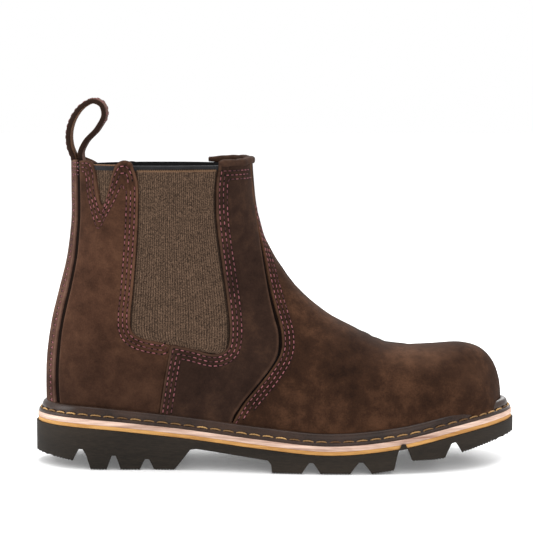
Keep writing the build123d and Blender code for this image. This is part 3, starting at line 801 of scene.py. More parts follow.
SIDE_ROWS = [
    ((-35.4, 198.4), (-16.4, 198.4)), ((-36.6, 191), (-15.8, 190)), ((-37.6, 184), (-15.2, 182)),
    ((-37.9, 174), (-14.2, 173)), ((-37.4, 160), (-12.3, 160)), ((-35.6, 144), (-9.6, 144)),
    ((-33.4, 128), (-6.9, 128)), ((-31.2, 112), (-4.0, 112)), ((-29.7, 98), (-0.6, 98)),
    ((-29.4, 88), (1.9, 88)), ((-30.6, 80), (1.3, 76)), ((-35.0, 75.9), (-3.0, 67.5)),
    ((-42.0, 75.0), (-7.4, 61.6)), ((-52.0, 77.6), (-11.8, 56.0)), ((-60.0, 79.2), (-15.4, 51.6)),
    ((-67.6, 80.4), (-18.4, 47.8)), ((-68.6, 74), (-20.9, 44.6)), ((-71.0, 62), (-24.2, 39.6)),
    ((-73.4, 47), (-27.2, 34.6)), (feather(-76.2), feather(-30.2)),
]
GORE_ROWS = [
    ((-90.4, 192.6), (-35.4, 192.6)), ((-89.2, 177), (-37.2, 175)), ((-89.6, 158), (-36.4, 158)),
    ((-91.2, 138), (-34.0, 138)), ((-93.4, 114), (-30.4, 114)), ((-95.2, 97), (-28.4, 96)),
    ((-95.0, 88), (-28.6, 84)), ((-92.0, 83), (-30.0, 77)), ((-86.0, 81.6), (-36.0, 73.6)),
]
# the station and the side-view point of the vamp's edge, from the collar down
VAMP_EDGE = [
    (0.34, (-16.1, 198.6)), (1.0, (-15.0, 182)), (2.0, (-13.0, 166)), (3.0, (-11.2, 156)),
    (4.0, (-9.1, 146.6)),
    (5.0, (-7.6, 138)), (6.0, (-6.1, 129)), (7.0, (-4.5, 119.5)), (8.6, (-2.4, 110)), (10.6, (0.4, 100)),
    (12.6, (3.2, 88.5)), (13.6, (2.6, 76.5)), (14.4, (-5.0, 64.0)), (15.0, (-14.0, 52.5)),
    (15.5, (-23.0, 40.6)),
    (15.9, feather(-29.0)), (16.4, feather(-8.0)), (17.0, feather(18.0)), (17.8, feather(44.0)),
    (18.6, feather(63.0)),
]
VAMP_EDGE += [(s, (float(back_x(s)), float(back_z(s)))) for s in (19.5, 20.5, 22.0, 23.5, 25.0, 26.0)]
VAMP_THREAD_TOP = 171.0
VAMP_SEAM_END = 15
GROOVE_GAP = 0.6
STRIP_EDGE = [(-128.4, 198.6), (-128.6, 182), (-128.6, 164), (-129.6, 150), (-131.0, 136), (-134.6, 118),
              (-139.2, 99), (-142.2, 82), (-144.0, 62), (-143.7, 46), (-142.2, feather(-142.2)[1])]
SIDES = (("lateral", -1.0), ("medial", 1.0))
COLLAR_DROP = 4.6
# thread rows that follow the notch and run round the rounded tab beside it
NOTCH_THREAD = [
    [(-125.0, 197.0), (-119.6, 196.7), (-117.8, 193.0), (-116.8, 181.0), (-114.6, 171.0), (-112.0, 164.6),
     (-108.9, 171.3), (-104.9, 181.5), (-101.7, 191.5), (-98.6, 195.6), (-95.2, 195.6), (-92.2, 191.8),
     (-91.0, 185.0)],
    [(-125.0, 194.5), (-121.0, 193.8), (-119.8, 190.0), (-118.9, 180.0), (-116.4, 169.0), (-113.0, 160.2),
     (-108.4, 169.0), (-103.7, 179.3), (-100.6, 187.0), (-98.0, 191.4), (-95.4, 191.0), (-93.7, 185.0)],
    [(-125.0, 192.0), (-122.3, 191.2), (-121.5, 187.5), (-120.8, 179.3), (-118.4, 168.0), (-113.7, 155.8),
     (-107.7, 165.6), (-102.6, 174.7), (-99.0, 182.2), (-97.6, 184.2), (-96.4, 180.5)],
]
NOTCH_JOIN = 184.0
STRAP_THREAD = (197.0, 194.5, 192.0, 189.5)

vamp_station = smooth([(i, s) for i, (s, _) in enumerate(VAMP_EDGE)])
vamp_border = [(x + GROOVE_GAP * (4 < i < VAMP_SEAM_END), z) for i, (_, (x, z)) in enumerate(VAMP_EDGE)]
vamp_at = wrap_patch(vamp_border, lambda v: (front_x(vamp_station(v)), front_z(vamp_station(v))))
vamp_grid = sample(vamp_at, 0, len(VAMP_EDGE) - 1, 150, 74)
strip_height = smooth([(i, z) for i, (_, z) in enumerate(STRIP_EDGE)])
strip_at = wrap_patch([(x - GROOVE_GAP / 2, z) for x, z in STRIP_EDGE],
                      lambda v: (back_line(strip_height(v)), strip_height(v)))
strip_grid = sample(strip_at, 0, len(STRIP_EDGE) - 1, 80, 12)


def creases(grid):
    """Faint flex creases across the vamp, behind the toe cap."""
    x, y, z = (grid[..., k] for k in range(3))
    line = x - 0.32 * (z - 60) + 0.10 * np.abs(y - 4)
    depth = np.zeros_like(x)
    for place, width, deep in ((58, 2.6, 0.55), (67, 3.2, 0.4), (84, 2.8, 0.35), (48, 3.0, 0.3)):
        depth += deep * np.exp(-((line - place) / width) ** 2)
    return depth * ease(z, 42, 66)


# painted highlights, places painted paler to stand for light on the vamp: middle, reach along each axis,
# amount
VAMP_PAINTED_HIGHLIGHTS = [((96, -40, 74), (22, 40, 7), 1.1), ((62, -5, 106), (26, 30, 9), 0.55),
               ((40, -36, 96), (9, 22, 12), 0.4), ((128, -20, 60), (16, 40, 12), 0.3)]
seam_length = int(np.argmin(np.linalg.norm(vamp_grid[:, 0] - skin(-29.0, feather(-29.0)[1], -1.0), axis=1)))
vamp_seams = [(vamp_grid[:seam_length, k][::2], THREAD_ROWS) for k in (0, -1)]
vamp_normal, vamp_height = leather_piece("vamp_panel", vamp_grid, vamp_leather, ["vamp"], vamp_seams,
                                         ("left", "right"), 3.0, sink=creases, painted_highlights=VAMP_PAINTED_HIGHLIGHTS)
rows_on(vamp_grid[:seam_length], vamp_normal[:seam_length], vamp_height[:seam_length],
        [seam for seam, _ in vamp_seams], THREAD_ROWS, lambda spots: spots[:, 2] < VAMP_THREAD_TOP)

strip_normal, strip_rise = leather_piece("heel_strip", strip_grid, strip_leather, ["back_strip"], [],
                                         ("left", "right"), 5.0, lift=0.15)

GORE_RIBS = 40
NOTCH_RIBS = 11
COLLAR_HEIGHT = 194.0
TONGUE_Z = 80.5


def side_panel(side_name, side):
    """The front side panel, with its foot running back under the elastic."""
    grid = sample(side_patch(SIDE_ROWS, side), 0, len(SIDE_ROWS) - 1, 96, 20)
    tab_edge = skin(np.linspace(-36.5, -15.5, 30), np.full(30, 194.6), side)
    seams = [grid[:, 0][::2], tab_edge]
    normal, height = leather_piece("side_panel_" + side_name + "_leather", grid, side_leather,
                                   ["side_panel_" + side_name],
                                   [(seams[0], THREAD_ROWS), (seams[1], THREAD_ROWS[:2])],
                                   seed=11.0 + side, lift=0.25)
    rows_on(grid, normal, height, seams, THREAD_ROWS,
            lambda spots: (spots[:, 2] < COLLAR_HEIGHT) & ((spots[:, 2] < 188.2) | (spots[:, 0] < -16.8)))


def back_quarter(side_name, side, drop):
    """The back quarter with its notch; its lower front border tucks under the side panel's."""
    tuck_x = smooth([(25, -76), (80, -68.4)])

    def tuck(grid):
        """How far the border below the elastic is pressed in."""
        gap = tuck_x(grid[..., 2]) - grid[..., 0]
        return 1.4 * (1 - ease(gap, 0.3, 3.0)) * ease(TONGUE_Z - grid[..., 2], 0, 3)

    rows = [((a, b), (c, d - drop * (i == 0))) for i, ((a, b), (c, d)) in enumerate(QUARTER_ROWS)]
    top = [(x, z - drop * float(ease(x, -126, -119))) for x, z in QUARTER_TOP]
    grid = sample(side_patch(rows, side, top, 3.2), 0, len(QUARTER_ROWS) - 1, 96, 40)
    front = grid[:, -1]
    gore_side = front[front[:, 2] > TONGUE_Z][::2]
    notch_lines = [skin_line([(x, z - drop) for x, z in line], side) for line in NOTCH_THREAD]
    seams = [(gore_side, THREAD_ROWS)] + [(spots, (0.0,)) for spots, _ in notch_lines]
    # dim=0.42 gives the quarter stronger painted shade towards the bottom
    normal, height = leather_piece("back_quarter_" + side_name + "_leather", grid, quarter_leather,
                                   ["back_quarter_" + side_name], seams,
                                   seed=23.0 + side, sink=tuck, dim=0.42)
    rows_on(grid, normal, height, [gore_side], THREAD_ROWS,
            lambda spots: (spots[:, 2] < NOTCH_JOIN - drop) & (spots[:, 0] < -68.5))
    for spots, ups in notch_lines:
        lay_thread(spots - ups * 0.2, ups)
    for z in STRAP_THREAD:
        spots, ups = skin_line([(-131.2, z), (-129.5, z), (-127.6, z), (-125.4, z)], side)
        lay_thread(spots + ups * 0.1, ups)


def gore(side_name, side, drop):
    """The big elastic, sunk along its seams and painted with shade there, with a zig-zag cut edge at the
    collar.
    """
    last = len(GORE_ROWS) - 1
    v, w = np.meshgrid(np.linspace(0, last, 150), np.linspace(0, 1, 241), indexing="ij")
    grid = side_patch(GORE_ROWS, side)(v, w)
    grid[..., 2] -= drop * (1 - ease(v, 0, 1.5))
    normal = outward(grid)
    rib = np.cos(w * 2 * np.pi * GORE_RIBS)
    rim = np.minimum(np.minimum(w, 1 - w) * 58, (last - v) * 8)
    sunk = 1.0 + 1.1 * (1 - ease(rim, 0.5, 3.0)) - 0.5 * ease(rim, 4, 24)
    weft = 0.04 * np.cos(v * 2 * np.pi * 13)
    zigzag = np.abs((w * 45) % 1 - 0.5) * 2.2 * (v < 0.05)
    outer = grid + normal * (0.03 * rib + weft - sunk)[..., None]
    outer[..., 2] += zigzag
    inner = grid - normal * (sunk + 1.0)[..., None]
    inner[..., 2] += zigzag
    # painted shade: darker near the seams, where the leather edges overhang the elastic
    fields = {"rib": (rib + 1) / 2, "edge": 0.8 * (1 - ease(v, 0.0, 0.05)),
              "shade": 0.75 * (1 - ease(rim, 1.0, 3.8))}
    add_sheet("gore_" + side_name + "_elastic", outer, inner, elastic, "elastic",
              ["gore_" + side_name], fields)


def notch_elastic(side_name, side, drop):
    """The elastic seen through the notch."""
    v, w = np.meshgrid(np.linspace(0, 1, 30), np.linspace(0, 1, 41), indexing="ij")
    grid = skin(-118.5 + 18.5 * w + (w - 0.5) * -6 * v, 196.5 - drop - (29 - drop) * v, side)
    normal = outward(grid)
    rib = np.cos(w * 2 * np.pi * NOTCH_RIBS)
    outer = grid + normal * (0.13 * rib - 1.7)[..., None]
    inner = grid - normal * 2.6
    fields = {"rib": (rib + 1) / 2, "edge": 0.8 * (1 - ease(v, 0.0, 0.03)), "shade": 0.0 * v}
    add_sheet("notch_" + side_name + "_elastic", outer, inner, elastic, "elastic",
              ["notch_elastic_" + side_name], fields)


for side_name, side in SIDES:
    collar_drop = COLLAR_DROP if side > 0 else 0.0
    side_panel(side_name, side)
    back_quarter(side_name, side, collar_drop)
    gore(side_name, side, collar_drop)
    notch_elastic(side_name, side, collar_drop)


def zigzag_seam(column, backwards):
    """Zig-zag thread along one edge of the heel strip."""
    gap = distance_to(strip_grid, strip_grid[:, column][::2])
    surface = strip_grid + strip_normal * (strip_rise + 0.12)[..., None]
    near, near_up = contour(surface, strip_normal, gap, 2.2, backwards)
    far, _ = contour(surface, strip_normal, gap, 5.4, backwards)
    arc = arc_lengths(near)
    far_arc = arc_lengths(far) * arc[-1] / arc_lengths(far)[-1]
    for i, at in enumerate(np.arange(2, arc[-1] - 2, 1.9)):
        start = along(at, arc, near)
        end = along(at + 1.4 * (-1) ** i, far_arc, far)
        thread["spots"].append((start + end) / 2)
        thread["alongs"].append(end - start)
        thread["ups"].append(near_up[min(int(at / arc[-1] * len(near_up)), len(near_up) - 1)])


zigzag_seam(0, False)
zigzag_seam(-1, True)


# ---------------------------------------------------------------- thread meshes
def bead_shape(rings, around):
    """A unit capsule along X, as points and faces."""
    points = []
    for i in range(rings):
        angle = math.pi * (i + 0.5) / rings
        for j in range(around):
            turn = 2 * math.pi * j / around
            points.append((-math.cos(angle) / 2, math.sin(angle) ** 0.6 * math.cos(turn) / 2,
                           math.sin(angle) ** 0.6 * math.sin(turn) / 2))
    return np.array(points), capped(rings, around)


def scatter(name, shape, spots, alongs, ups, sizes, material):
    """One mesh of many copies of a shape, each lying along its own direction."""
    base, faces = shape
    alongs = unit(np.array(alongs))
    ups = unit(np.array(ups))
    across = unit(np.cross(ups, alongs))
    ups = np.cross(alongs, across)
    spots = np.array(spots)
    local = base * np.array(sizes)
    points = (spots[:, None] + local[:, :1] * alongs[:, None] + local[:, 1:2] * across[:, None]
              + local[:, 2:] * ups[:, None])
    all_faces = []
    for i in range(len(spots)):
        all_faces += [[k + i * len(base) for k in face] for face in faces]
    tint = np.repeat(np.random.default_rng(4).random(len(spots)), len(base))
    return add_mesh(name, points.reshape(-1, 3), all_faces, material, {"tint": tint}, recalculate=False)


stitch_shape = bead_shape(6, 8)
spots = np.array(thread["spots"])
alongs = unit(np.array(thread["alongs"]))
ups = unit(np.array(thread["ups"]))
upper_thread = scatter("upper_thread", stitch_shape, spots, alongs, ups, (2.3, 0.66, 0.5), pink_thread)
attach(upper_thread, "boot")
# painted shade: dark sunk capsules between stitches stand for the shade in the needle holes
holes = scatter("painted_hole_shades", stitch_shape, spots + alongs * (STITCH_PITCH / 2) - ups * 0.13, alongs, ups,
                (1.5, 0.95, 0.42), painted_hole_shade)
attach(holes, "boot")


# ---------------------------------------------------------------- sole
def closed_spline(points, count):
    """Points at even steps along a periodic cubic through the given ones."""
    given = np.array(points, float)
    steps = np.linalg.norm(np.roll(given, -1, 0) - given, axis=1)
    size = len(given)
    matrix = np.zeros((size, size))
    right = np.zeros((size, 2))
    for i in range(size):
        before = steps[i - 1]
        after = steps[i]
        matrix[i, i - 1] = after
        matrix[i, i] = 2 * (before + after)
        matrix[i, (i + 1) % size] = before
        ahead = (given[(i + 1) % size] - given[i]) / after
        behind = (given[i] - given[i - 1]) / before
        right[i] = 3 * (after * behind + before * ahead)
    slopes = np.linalg.solve(matrix, right)
    dense = []
    for i in range(size):
        u = np.linspace(0, 1, 60, endpoint=False)[:, None]
        end = given[(i + 1) % size]
        width = steps[i]
        dense.append((1 + 2 * u) * (1 - u) ** 2 * given[i] + u * (1 - u) ** 2 * width * slopes[i]
                     + u * u * (3 - 2 * u) * end - u * u * (1 - u) * width * slopes[(i + 1) % size])
    dense = np.concatenate(dense)
    loop = np.concatenate([dense, dense[:1]])
    arc = arc_lengths(loop)
    at = np.linspace(0, arc[-1], count, endpoint=False)
    return np.stack([np.interp(at, arc, loop[:, k]) for k in range(2)], -1)


# the sole's plan, once round from the heel along the lateral side
PLAN = [
    (HEEL_END, 0), (-147, -22), (-126, -36), (-94, -38.5), (-49, -41), (-10, -49), (38, -54), (80, -51.5),
    (119, -38.5), (147, -14.5), (TOE_END, 8), (150, 26), (130, 40), (100, 48.5), (64, 53.6), (36, 50.5),
    (-5, 42), (-40, 37), (-75, 36.5), (-112, 38), (-136, 32.5), (-151, 17),
]
OUTLINE_COUNT = 640
TAN_FOOT = -5.8
WELT_STITCH = 8.6
outline = closed_spline(PLAN, OUTLINE_COUNT)
outline_way = unit(np.roll(outline, -1, 0) - np.roll(outline, 1, 0))
outline_in = np.stack([-outline_way[:, 1], outline_way[:, 0]], -1)


def ring(profile, wobble=0.0, seed=0.0):
    """A closed band round the sole; profile holds (distance inside the outline, height over midsole_top)."""
    grid = []
    for inside, height in profile:
        flat = outline + outline_in * inside
        grid.append(np.column_stack([flat, midsole_top(flat[:, 0]) + height]))
    grid = np.array(grid)
    if wobble:
        shift = wobble * wander(grid, 4.0, seed)
        grid[..., :2] += outline_in[None] * shift[..., None]
    points = grid.reshape(-1, 3)
    rows, columns = grid.shape[:2]
    last = (rows - 1) * columns + np.arange(columns)
    first = np.arange(columns)
    cap = np.stack([last, np.roll(last, -1), np.roll(first, -1), first], -1)
    return points, np.concatenate([grid_faces(rows, columns, closed=True), cap])


def rounded(low, high, outside, inside, radius=0.35):
    """A band's profile with softened outer corners."""
    corner = [(outside + radius * (1 - math.sin(a)), high - radius * (1 - math.cos(a)))
              for a in np.linspace(0, math.pi / 2, 5)]
    foot = [(outside + radius * (1 - math.cos(a)), low + radius * (1 - math.sin(a)))
            for a in np.linspace(0, math.pi / 2, 5)]
    middle = [(outside, low + (high - low) * k / 6) for k in range(2, 5)][::-1]
    return [(inside, high)] + corner + middle + foot + [(inside, low)]


add_piece("beige_layer", *ring(rounded(-3.3, 0.0, 1.0, 12.0), 0.12, 2.0), beige_board, "beige_midsole",
          ["midsole"], sharp=60)
add_piece("tan_layer", *ring(rounded(TAN_FOOT, -3.3, 1.25, 12.0, 0.25), 0.12, 9.0), tan_board, "tan_midsole",
          ["lower_midsole"], sharp=60)
# the welt's section with its bead: distance inside the outline, height over the beige layer
STORM_PROFILE = [
    (9.5, 2.2), (9.5, 6.4), (8.2, 7.3), (7.0, 7.8), (5.9, 7.6), (4.9, 6.9), (4.2, 5.8), (3.8, 4.5),
    (3.7, 3.4), (3.9, 2.6), (3.5, 2.2), (2.6, 2.1), (1.95, 1.9), (1.65, 1.4), (1.6, 0.7), (1.8, 0.05),
    (9.5, 0.05),
]
add_piece("storm_welt", *ring(STORM_PROFILE, 0.05, 4.0), welt_brown, "welt_brown", ["welt"], sharp=70)


def rope_stitches():
    """Thick twisted thread lying in short arcs on the welt."""
    loop = outline + outline_in * 2.9
    closed = np.concatenate([loop, loop[:1]])
    arc = arc_lengths(closed)
    count = round(arc[-1] / WELT_STITCH)
    pitch = arc[-1] / count
    turns = 26
    around = 10
    points = []
    faces = []
    tints = []
    shade = np.random.default_rng(8).random(count)
    for i in range(count):
        t = np.linspace(0, 1, turns)
        at = (i + 0.11 + 0.78 * t) * pitch
        flat = np.stack([np.interp(at % arc[-1], arc, closed[:, k]) for k in range(2)], -1)
        rise_up = 0.7 * np.sin(np.pi * t) ** 0.5 - 0.3
        centre = np.column_stack([flat, midsole_top(flat[:, 0]) + 2.45 + rise_up])
        tangent = unit(np.gradient(centre, axis=0))
        side_way = unit(np.cross(np.broadcast_to([0.0, 0.0, 1.0], tangent.shape), tangent))
        up = np.cross(tangent, side_way)
        angle = np.linspace(0, 2 * np.pi, around, endpoint=False)[None]
        twist = (t * 2 * np.pi * 1.9 + i)[:, None]
        taper = (0.55 + 0.45 * np.sin(np.pi * t) ** 0.3)[:, None]
        radius = 0.50 * (0.70 + 0.42 * np.abs(np.cos(angle - twist))) * taper
        tube = (centre[:, None] + side_way[:, None] * (radius * np.cos(angle))[..., None]
                + up[:, None] * (radius * np.sin(angle))[..., None])
        faces += capped(turns, around, len(points))
        points.extend(tube.reshape(-1, 3))
        tints += [shade[i]] * (turns * around)
    piece = add_mesh("welt_rope", points, faces, welt_rope, {"tint": tints}, recalculate=False)
    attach(piece, "boot")
    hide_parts("welt_stitches")


rope_stitches()

# the sole's cross grooves: middle, half length, top, and the height of a lug's foot in it
GROOVES = [(-125.7, 5.5, 11.3, 3.2), (-104.4, 4.6, 9.2, 0.0), (-82.9, 4.6, 6.9, 0.0), (22.6, 6.0, 7.2, 0.0),
           (54.4, 7.0, 7.6, 0.0), (81.6, 5.6, 11.2, 0.0), (114.4, 5.8, 14.3, 6.0)]
# the underside in side view, without the grooves
TREAD = [(HEEL_END - 8, 8.0), (-147, 6.6), (-131, 4.9), (-122, 4.9), (-119, 0.0), (-66, 0.0), (-64, 1.6),
         (-55, 13.4), (-51, 14.0), (-5, 8.2), (-2.6, 5.0), (-2.5, 0.0), (62, 0.0), (75, 1.9), (78, 7.6),
         (103, 7.8), (109, 8.4), (120, 11.0), (132, 13.4), (147, 16.5), (TOE_END + 8, 20.0)]


def tread_height(x):
    """The sole's underside in side view, with its cross grooves and the fine teeth on its lugs."""
    tread = np.array(TREAD)
    base = np.interp(x, tread[:, 0], tread[:, 1])
    ahead, behind = (np.interp(x + step, tread[:, 0], tread[:, 1]) for step in (0.4, -0.4))
    slope = np.abs(ahead - behind)
    teeth = 0.75 * np.abs((x / 1.9) % 1 - 0.5) * 2
    cut = np.zeros_like(x)
    for centre, half, peak, foot in GROOVES:
        near = np.clip((half - np.abs(x - centre)) / (half - 1.3), 0, 1)
        cut = np.maximum(cut, (peak - foot) * near ** 0.9 + (foot - base) * (near > 0) * (foot > base))
    lug = (slope < 0.25) & (cut <= 0) & ~((x > -60) & (x < -5))
    return base + cut + np.where(lug, teeth, 0.0)


def plan_sections(inside, stops):
    """The lateral and medial edges, at each x, of the sole's plan taken in by a distance."""
    flat = outline + outline_in * inside
    low = int(np.argmin(flat[:, 0]))
    high = int(np.argmax(flat[:, 0]))
    loop = np.roll(flat, -low, 0)
    split = (high - low) % len(flat)
    lateral = loop[:split + 1]
    medial = np.concatenate([loop[split:], loop[:1]])[::-1]
    return (np.interp(stops, lateral[:, 0], lateral[:, 1]), np.interp(stops, medial[:, 0], medial[:, 1]))


def plan_body(name, inside, low, high, stops, material, edge, crown=None):
    """A body lofted along X inside the sole's plan, between two heights, with softened edges."""
    lateral, medial = plan_sections(inside, stops)
    middle = (lateral + medial) / 2
    half = np.maximum((medial - lateral) / 2, 0.02)
    across = np.concatenate([[-1, -0.985], np.linspace(-0.96, 0.96, 25), [0.985, 1]])
    soft = edge * np.array([1.0, 0.25] + [0.0] * 25 + [0.25, 1.0])
    rings = []
    for v, drop in zip(across, soft):
        lift = crown(stops, v) if crown else 0.0
        rings.append(np.stack([stops, middle + half * v, high(stops) - drop + lift], -1))
    foot = low(stops) + edge

    def wall(top, side, shares):
        """Rings down one side; side is -1 or 1."""
        return [np.stack([stops, middle + half * side, foot + (top[:, 2] - foot) * k], -1) for k in shares]

    floor = [np.stack([stops, middle + half * v, low(stops) + drop], -1)
             for v, drop in zip(across[::-1], soft[::-1])]
    grid = np.array(rings + wall(rings[-1], 1, (0.75, 0.5, 0.25)) + floor
                    + wall(rings[0], -1, (0.25, 0.5, 0.75))).transpose(1, 0, 2)
    return add_mesh(name, grid.reshape(-1, 3), capped(*grid.shape[:2]), material, sharp=38)


def stops_between(low, high, step, close=14.0):
    """Places along X, closer together at the rounded ends."""
    ends = close * (1 - np.cos(np.linspace(0, math.pi / 2, 16)))
    inner = np.arange(low + close, high - close, step)
    return np.concatenate([low + ends[:-1], inner, (high - ends)[::-1]])


outsole = plan_body("rubber_sole", 0.0, tread_height, lambda x: midsole_top(x) + TAN_FOOT,
                    stops_between(HEEL_END + 0.02, TOE_END - 0.02, 0.475), rubber, edge=0.5)
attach(outsole, "boot")
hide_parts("outsole")


def footbed_crown(x, v):
    """A shallow heel cup, and a raised border all round."""
    cup = 2.6 * np.abs(v) ** 4 * (1 - ease(x, -70, -10))
    return cup + 0.9 * np.abs(v) ** 8 - 1.0 * (1 - ease(x, -90, -40)) * (1 - v * v)


footbed = plan_body("footbed_pad", 16.2, lambda x: midsole_top(x) + 5.5, lambda x: midsole_top(x) + 9.6,
                    stops_between(-141.2, 141.2, 3.0), footbed_cloth, edge=1.2, crown=footbed_crown)
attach(footbed, "footbed")
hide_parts("footbed")

# ---------------------------------------------------------------- lining, binding, front tab
LINING_DEPTH = 2.7
LINING_THICK = 1.3


def ring_outward(grid):
    """Outward directions of a grid whose rows are closed rings."""
    across = np.roll(grid, -1, 1) - np.roll(grid, 1, 1)
    normal = unit(np.cross(across, np.gradient(grid, axis=0)))
    return normal if (normal[..., 1] * (grid[..., 1] - middle_y(grid[..., 0]))).mean() > 0 else -normal


def collar_lining():
    """The black lining seen in the opening, kept inside the leather."""
    v, w = np.meshgrid(np.linspace(0.46, 9.0, 60), np.linspace(0, 1, 161), indexing="ij")
    share = (1 - np.cos(np.pi * (1 - np.abs(2 * w - 1)))) / 2
    side = np.where(w < 0.5, -1.0, 1.0)
    x = front_x(v) + (back_x(v) - front_x(v)) * share
    z = front_z(v) + (back_z(v) - front_z(v)) * share
    sock = skin(x, z, side)
    sock[..., 1] = np.where((share < 1e-6) | (share > 1 - 1e-6), middle_y(x), sock[..., 1])
    sock = sock[:, :-1]
    normal = ring_outward(sock)
    thickness = LINING_THICK + 0.25 * wander(sock, 18.0, 40.0)
    walls = (sock - normal * LINING_DEPTH, sock - normal * (LINING_DEPTH + thickness)[..., None])
    for wall, depth in zip(walls, (LINING_DEPTH, LINING_DEPTH + LINING_THICK)):
        middle = middle_y(wall[..., 0])
        leather = skin(wall[..., 0], wall[..., 2], side[:, :-1])[..., 1] - middle
        room = np.maximum(np.abs(leather) - depth, 0.4)
        wall[..., 1] = np.clip(wall[..., 1] - middle, -room, room) + middle
    rows, columns = sock.shape[:2]
    count = rows * columns
    faces = [grid_faces(rows, columns, closed=True), grid_faces(rows, columns, count, closed=True)]
    for first in (0, (rows - 1) * columns):
        loop = first + np.arange(columns)
        faces.append(np.stack([loop, np.roll(loop, -1), np.roll(loop, -1) + count, loop + count], -1))
    points = np.concatenate([wall.reshape(-1, 3) for wall in walls])
    add_piece("collar_lining", points, np.concatenate(faces), black_lining, "lining",
              ["quarter_lining_lateral", "quarter_lining_medial"], sharp=60)


collar_lining()


def tube(name, path, profile, material, ups=None, fields=None):
    """A section swept along a path; profile gives (across, up) offsets at a share of the path."""
    tangent = unit(np.gradient(path, axis=0))
    up = unit(ups if ups is not None else np.broadcast_to([0.0, 0.0, 1.0], path.shape))
    across = unit(np.cross(up, tangent))
    up = np.cross(tangent, across)
    sections = np.array([profile(s) for s in np.linspace(0, 1, len(path))])
    grid = path[:, None] + across[:, None] * sections[..., :1] + up[:, None] * sections[..., 1:]
    return add_mesh(name, grid.reshape(-1, 3), capped(*grid.shape[:2]), material, fields)


def collar_path(edge_x, z, over_front, count=140, depth=2.6, medial_x=None):
    """A line round the collar at a height, over its front or its back, taken in by depth."""
    w = np.linspace(0, 1, count)
    u = np.sin(np.pi / 2 * (1 - np.abs(2 * w - 1)))
    side = np.where(w < 0.5, -1.0, 1.0)
    s, _ = locate(np.array([edge_x]), np.array([z]))
    ridge = float(front_x(s[0])) if over_front else float(back_line(z))
    start = np.where(side < 0, edge_x, edge_x if medial_x is None else medial_x)
    x = start + (ridge - start) * u
    path = skin(x, np.full(count, z), side)
    path[..., 1] = np.where(u > 0.99999, middle_y(x), path[..., 1])
    tangent = unit(np.gradient(path, axis=0))
    outside = np.cross(tangent, np.broadcast_to([0.0, 0.0, 1.0], path.shape))
    centre = np.array([-75.0, 0.0, z])
    flip = np.sign(np.einsum("ij,ij->i", outside, path - centre).mean())
    return path - unit(outside) * flip * depth


def oval(width, height, power=2.6, count=20):
    """A rounded section; a higher power makes it squarer."""
    angles = np.linspace(0, 2 * np.pi, count, endpoint=False)
    c = np.cos(angles)
    s = np.sin(angles)
    return np.stack([width / 2 * np.sign(c) * np.abs(c) ** (2 / power),
                     height / 2 * np.sign(s) * np.abs(s) ** (2 / power)], -1)


binding_path = collar_path(-35.0, 194.4, False)
binding_path[:, 2] -= 1.6 * ease(binding_path[:, 1], -10, 15)
binding = tube("collar_tape", binding_path, lambda s: oval(2.8, 3.4), black_binding)
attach(binding, "boot")
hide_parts("collar_binding")

TAB_RISE = smooth([(0, -0.2), (0.12, 0.2), (0.5, 0.9), (0.88, 0.0), (1, -0.6)])
tab_path = collar_path(-34.8, 197.0, True, 110, 1.6, -43.5)
tab_share = np.linspace(0, 1, len(tab_path))
tab_path[:, 2] += TAB_RISE(tab_share) + 0.25 * np.sin(tab_share * 19)


TAB_POINTS = 24


def tab_section(s):
    """The tab's section, a little uneven along it and narrower at its ends."""
    swell = 1 + 0.08 * math.sin(s * 31) + 0.05 * math.sin(s * 57)
    close = min(1.0, 6 * min(s, 1 - s) + 0.72)
    return oval(6.0 * swell * close, 4.6 * swell * close, 2.9, TAB_POINTS)


tab_count = len(tab_path) * TAB_POINTS
tab = tube("collar_tab", tab_path, tab_section, side_leather,
           fields={"wear_and_highlight": np.full(tab_count, 0.25), "shade": np.zeros(tab_count)})
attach(tab, "boot")
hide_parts("front_tab")

# ---------------------------------------------------------------- pull loop
STRAP_LINE = [
    (-129.0, 184.0), (-129.4, 192.0), (-131.0, 199.6), (-133.5, 206.5), (-133.9, 217.0), (-130.2, 227.0),
    (-123.8, 234.0), (-117.8, 236.3), (-112.8, 233.9), (-111.1, 228.2), (-115.4, 218.6), (-123.6, 209.4),
    (-126.6, 202.6), (-126.0, 196.0), (-125.4, 188.0),
]
STRAP_THICK = 3.5
STRAP_WIDE = 22.0
STRAP_SQUARE = 7.0
STRAP_RINGS = 150
STRAP_POINTS = 44
STRAP_SEAMS = (-8.6, 8.6)
strap_keys = np.array(STRAP_LINE)
key_arc = arc_lengths(strap_keys)
strap_x, strap_z = (smooth(list(zip(key_arc, strap_keys[:, k]))) for k in range(2))
strap_at = np.linspace(0, key_arc[-1], STRAP_RINGS)
level_y = np.zeros(STRAP_RINGS)
strap_path = np.stack([strap_x(strap_at), level_y, strap_z(strap_at)], -1)


def strap_section(s):
    """The strap's flat section with slightly frayed edges."""
    fray = 0.12 * math.sin(s * 260) + 0.1 * math.sin(s * 143)
    return oval(STRAP_WIDE + fray, STRAP_THICK, STRAP_SQUARE, STRAP_POINTS)


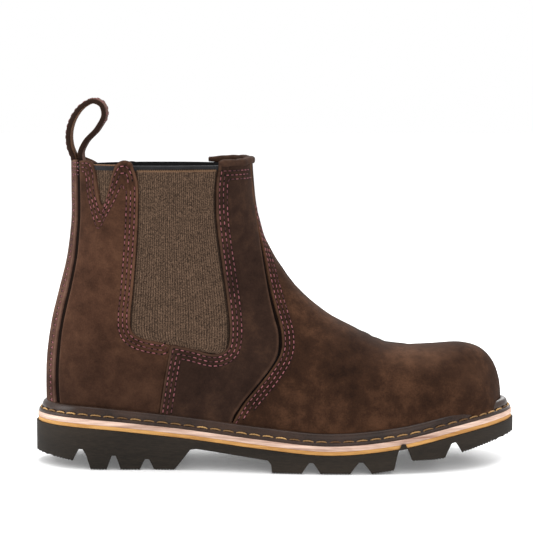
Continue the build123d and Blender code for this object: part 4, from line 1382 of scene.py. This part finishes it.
strap_up = np.stack([-np.gradient(strap_path[:, 2]), level_y, np.gradient(strap_path[:, 0])], -1)
across_strap = oval(1, 1, STRAP_SQUARE, STRAP_POINTS)[:, 1] + 0.5
strap = tube("pull_strap", strap_path, strap_section, strap_edge, ups=strap_up,
             fields={"face": np.tile(across_strap, STRAP_RINGS)})
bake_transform(strap)
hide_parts("pull_loop", "pull_loop_anchor")

strap_normal = unit(strap_up)
if strap_normal[STRAP_RINGS // 2, 2] < 0:
    strap_normal = -strap_normal
strap_arc = arc_lengths(strap_path)
stitch_rings = np.searchsorted(strap_arc, np.arange(4, strap_arc[-1] - 40, STITCH_PITCH))
loop_spots = []
loop_alongs = []
loop_ups = []
for edge in STRAP_SEAMS:
    for k in stitch_rings:
        away = strap_normal[k]
        loop_spots.append(strap_path[k] + away * (STRAP_THICK / 2 + 0.05) + np.array([0, edge, 0]))
        loop_alongs.append(strap_path[k + 1] - strap_path[k])
        loop_ups.append(away)
loop_thread = scatter("strap_thread", stitch_shape, loop_spots, loop_alongs, loop_ups, (2.3, 0.7, 0.4),
                      pink_thread)
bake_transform(loop_thread)

# ---------------------------------------------------------------- hidden pieces keep their CAD shape
HIDDEN = {
    "shank": steel, "steel_toe_cap": steel, "cork_filler": cork, "insole_rib": canvas, "insole_board": board,
    "toe_cap_edge_strip": edge_rubber, "heel_counter": counter_board, "foot_lining_lateral": black_lining,
    "foot_lining_medial": black_lining, "vamp_lining": black_lining,
}
for node, finish in HIDDEN.items():
    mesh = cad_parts[node].data
    mesh.materials.clear()
    mesh.materials.append(finish)

# ---------------------------------------------------------------- floor
floor_mesh = bpy.data.meshes.new("floor")
floor_mesh.from_pydata([(-4, -3, 0), (4, -3, 0), (4, 5, 0), (-4, 5, 0)], [], [(0, 1, 2, 3)])
floor = bpy.data.objects.new("floor", floor_mesh)
bpy.context.scene.collection.objects.link(floor)
floor_finish = Finish("pale_floor", 0.5, specular=0.3)
floor_tone = floor_finish.ramp(floor_finish.noise(3), [(0.0, (0.90, 0.90, 0.90)), (1.0, (0.93, 0.93, 0.93))])
floor_finish.colour(floor_tone)
floor_finish.shader.inputs["Emission Color"].default_value = (1, 1, 1, 1)
floor_finish.shader.inputs["Emission Strength"].default_value = 0.14
floor_mesh.materials.append(floor_finish.material)
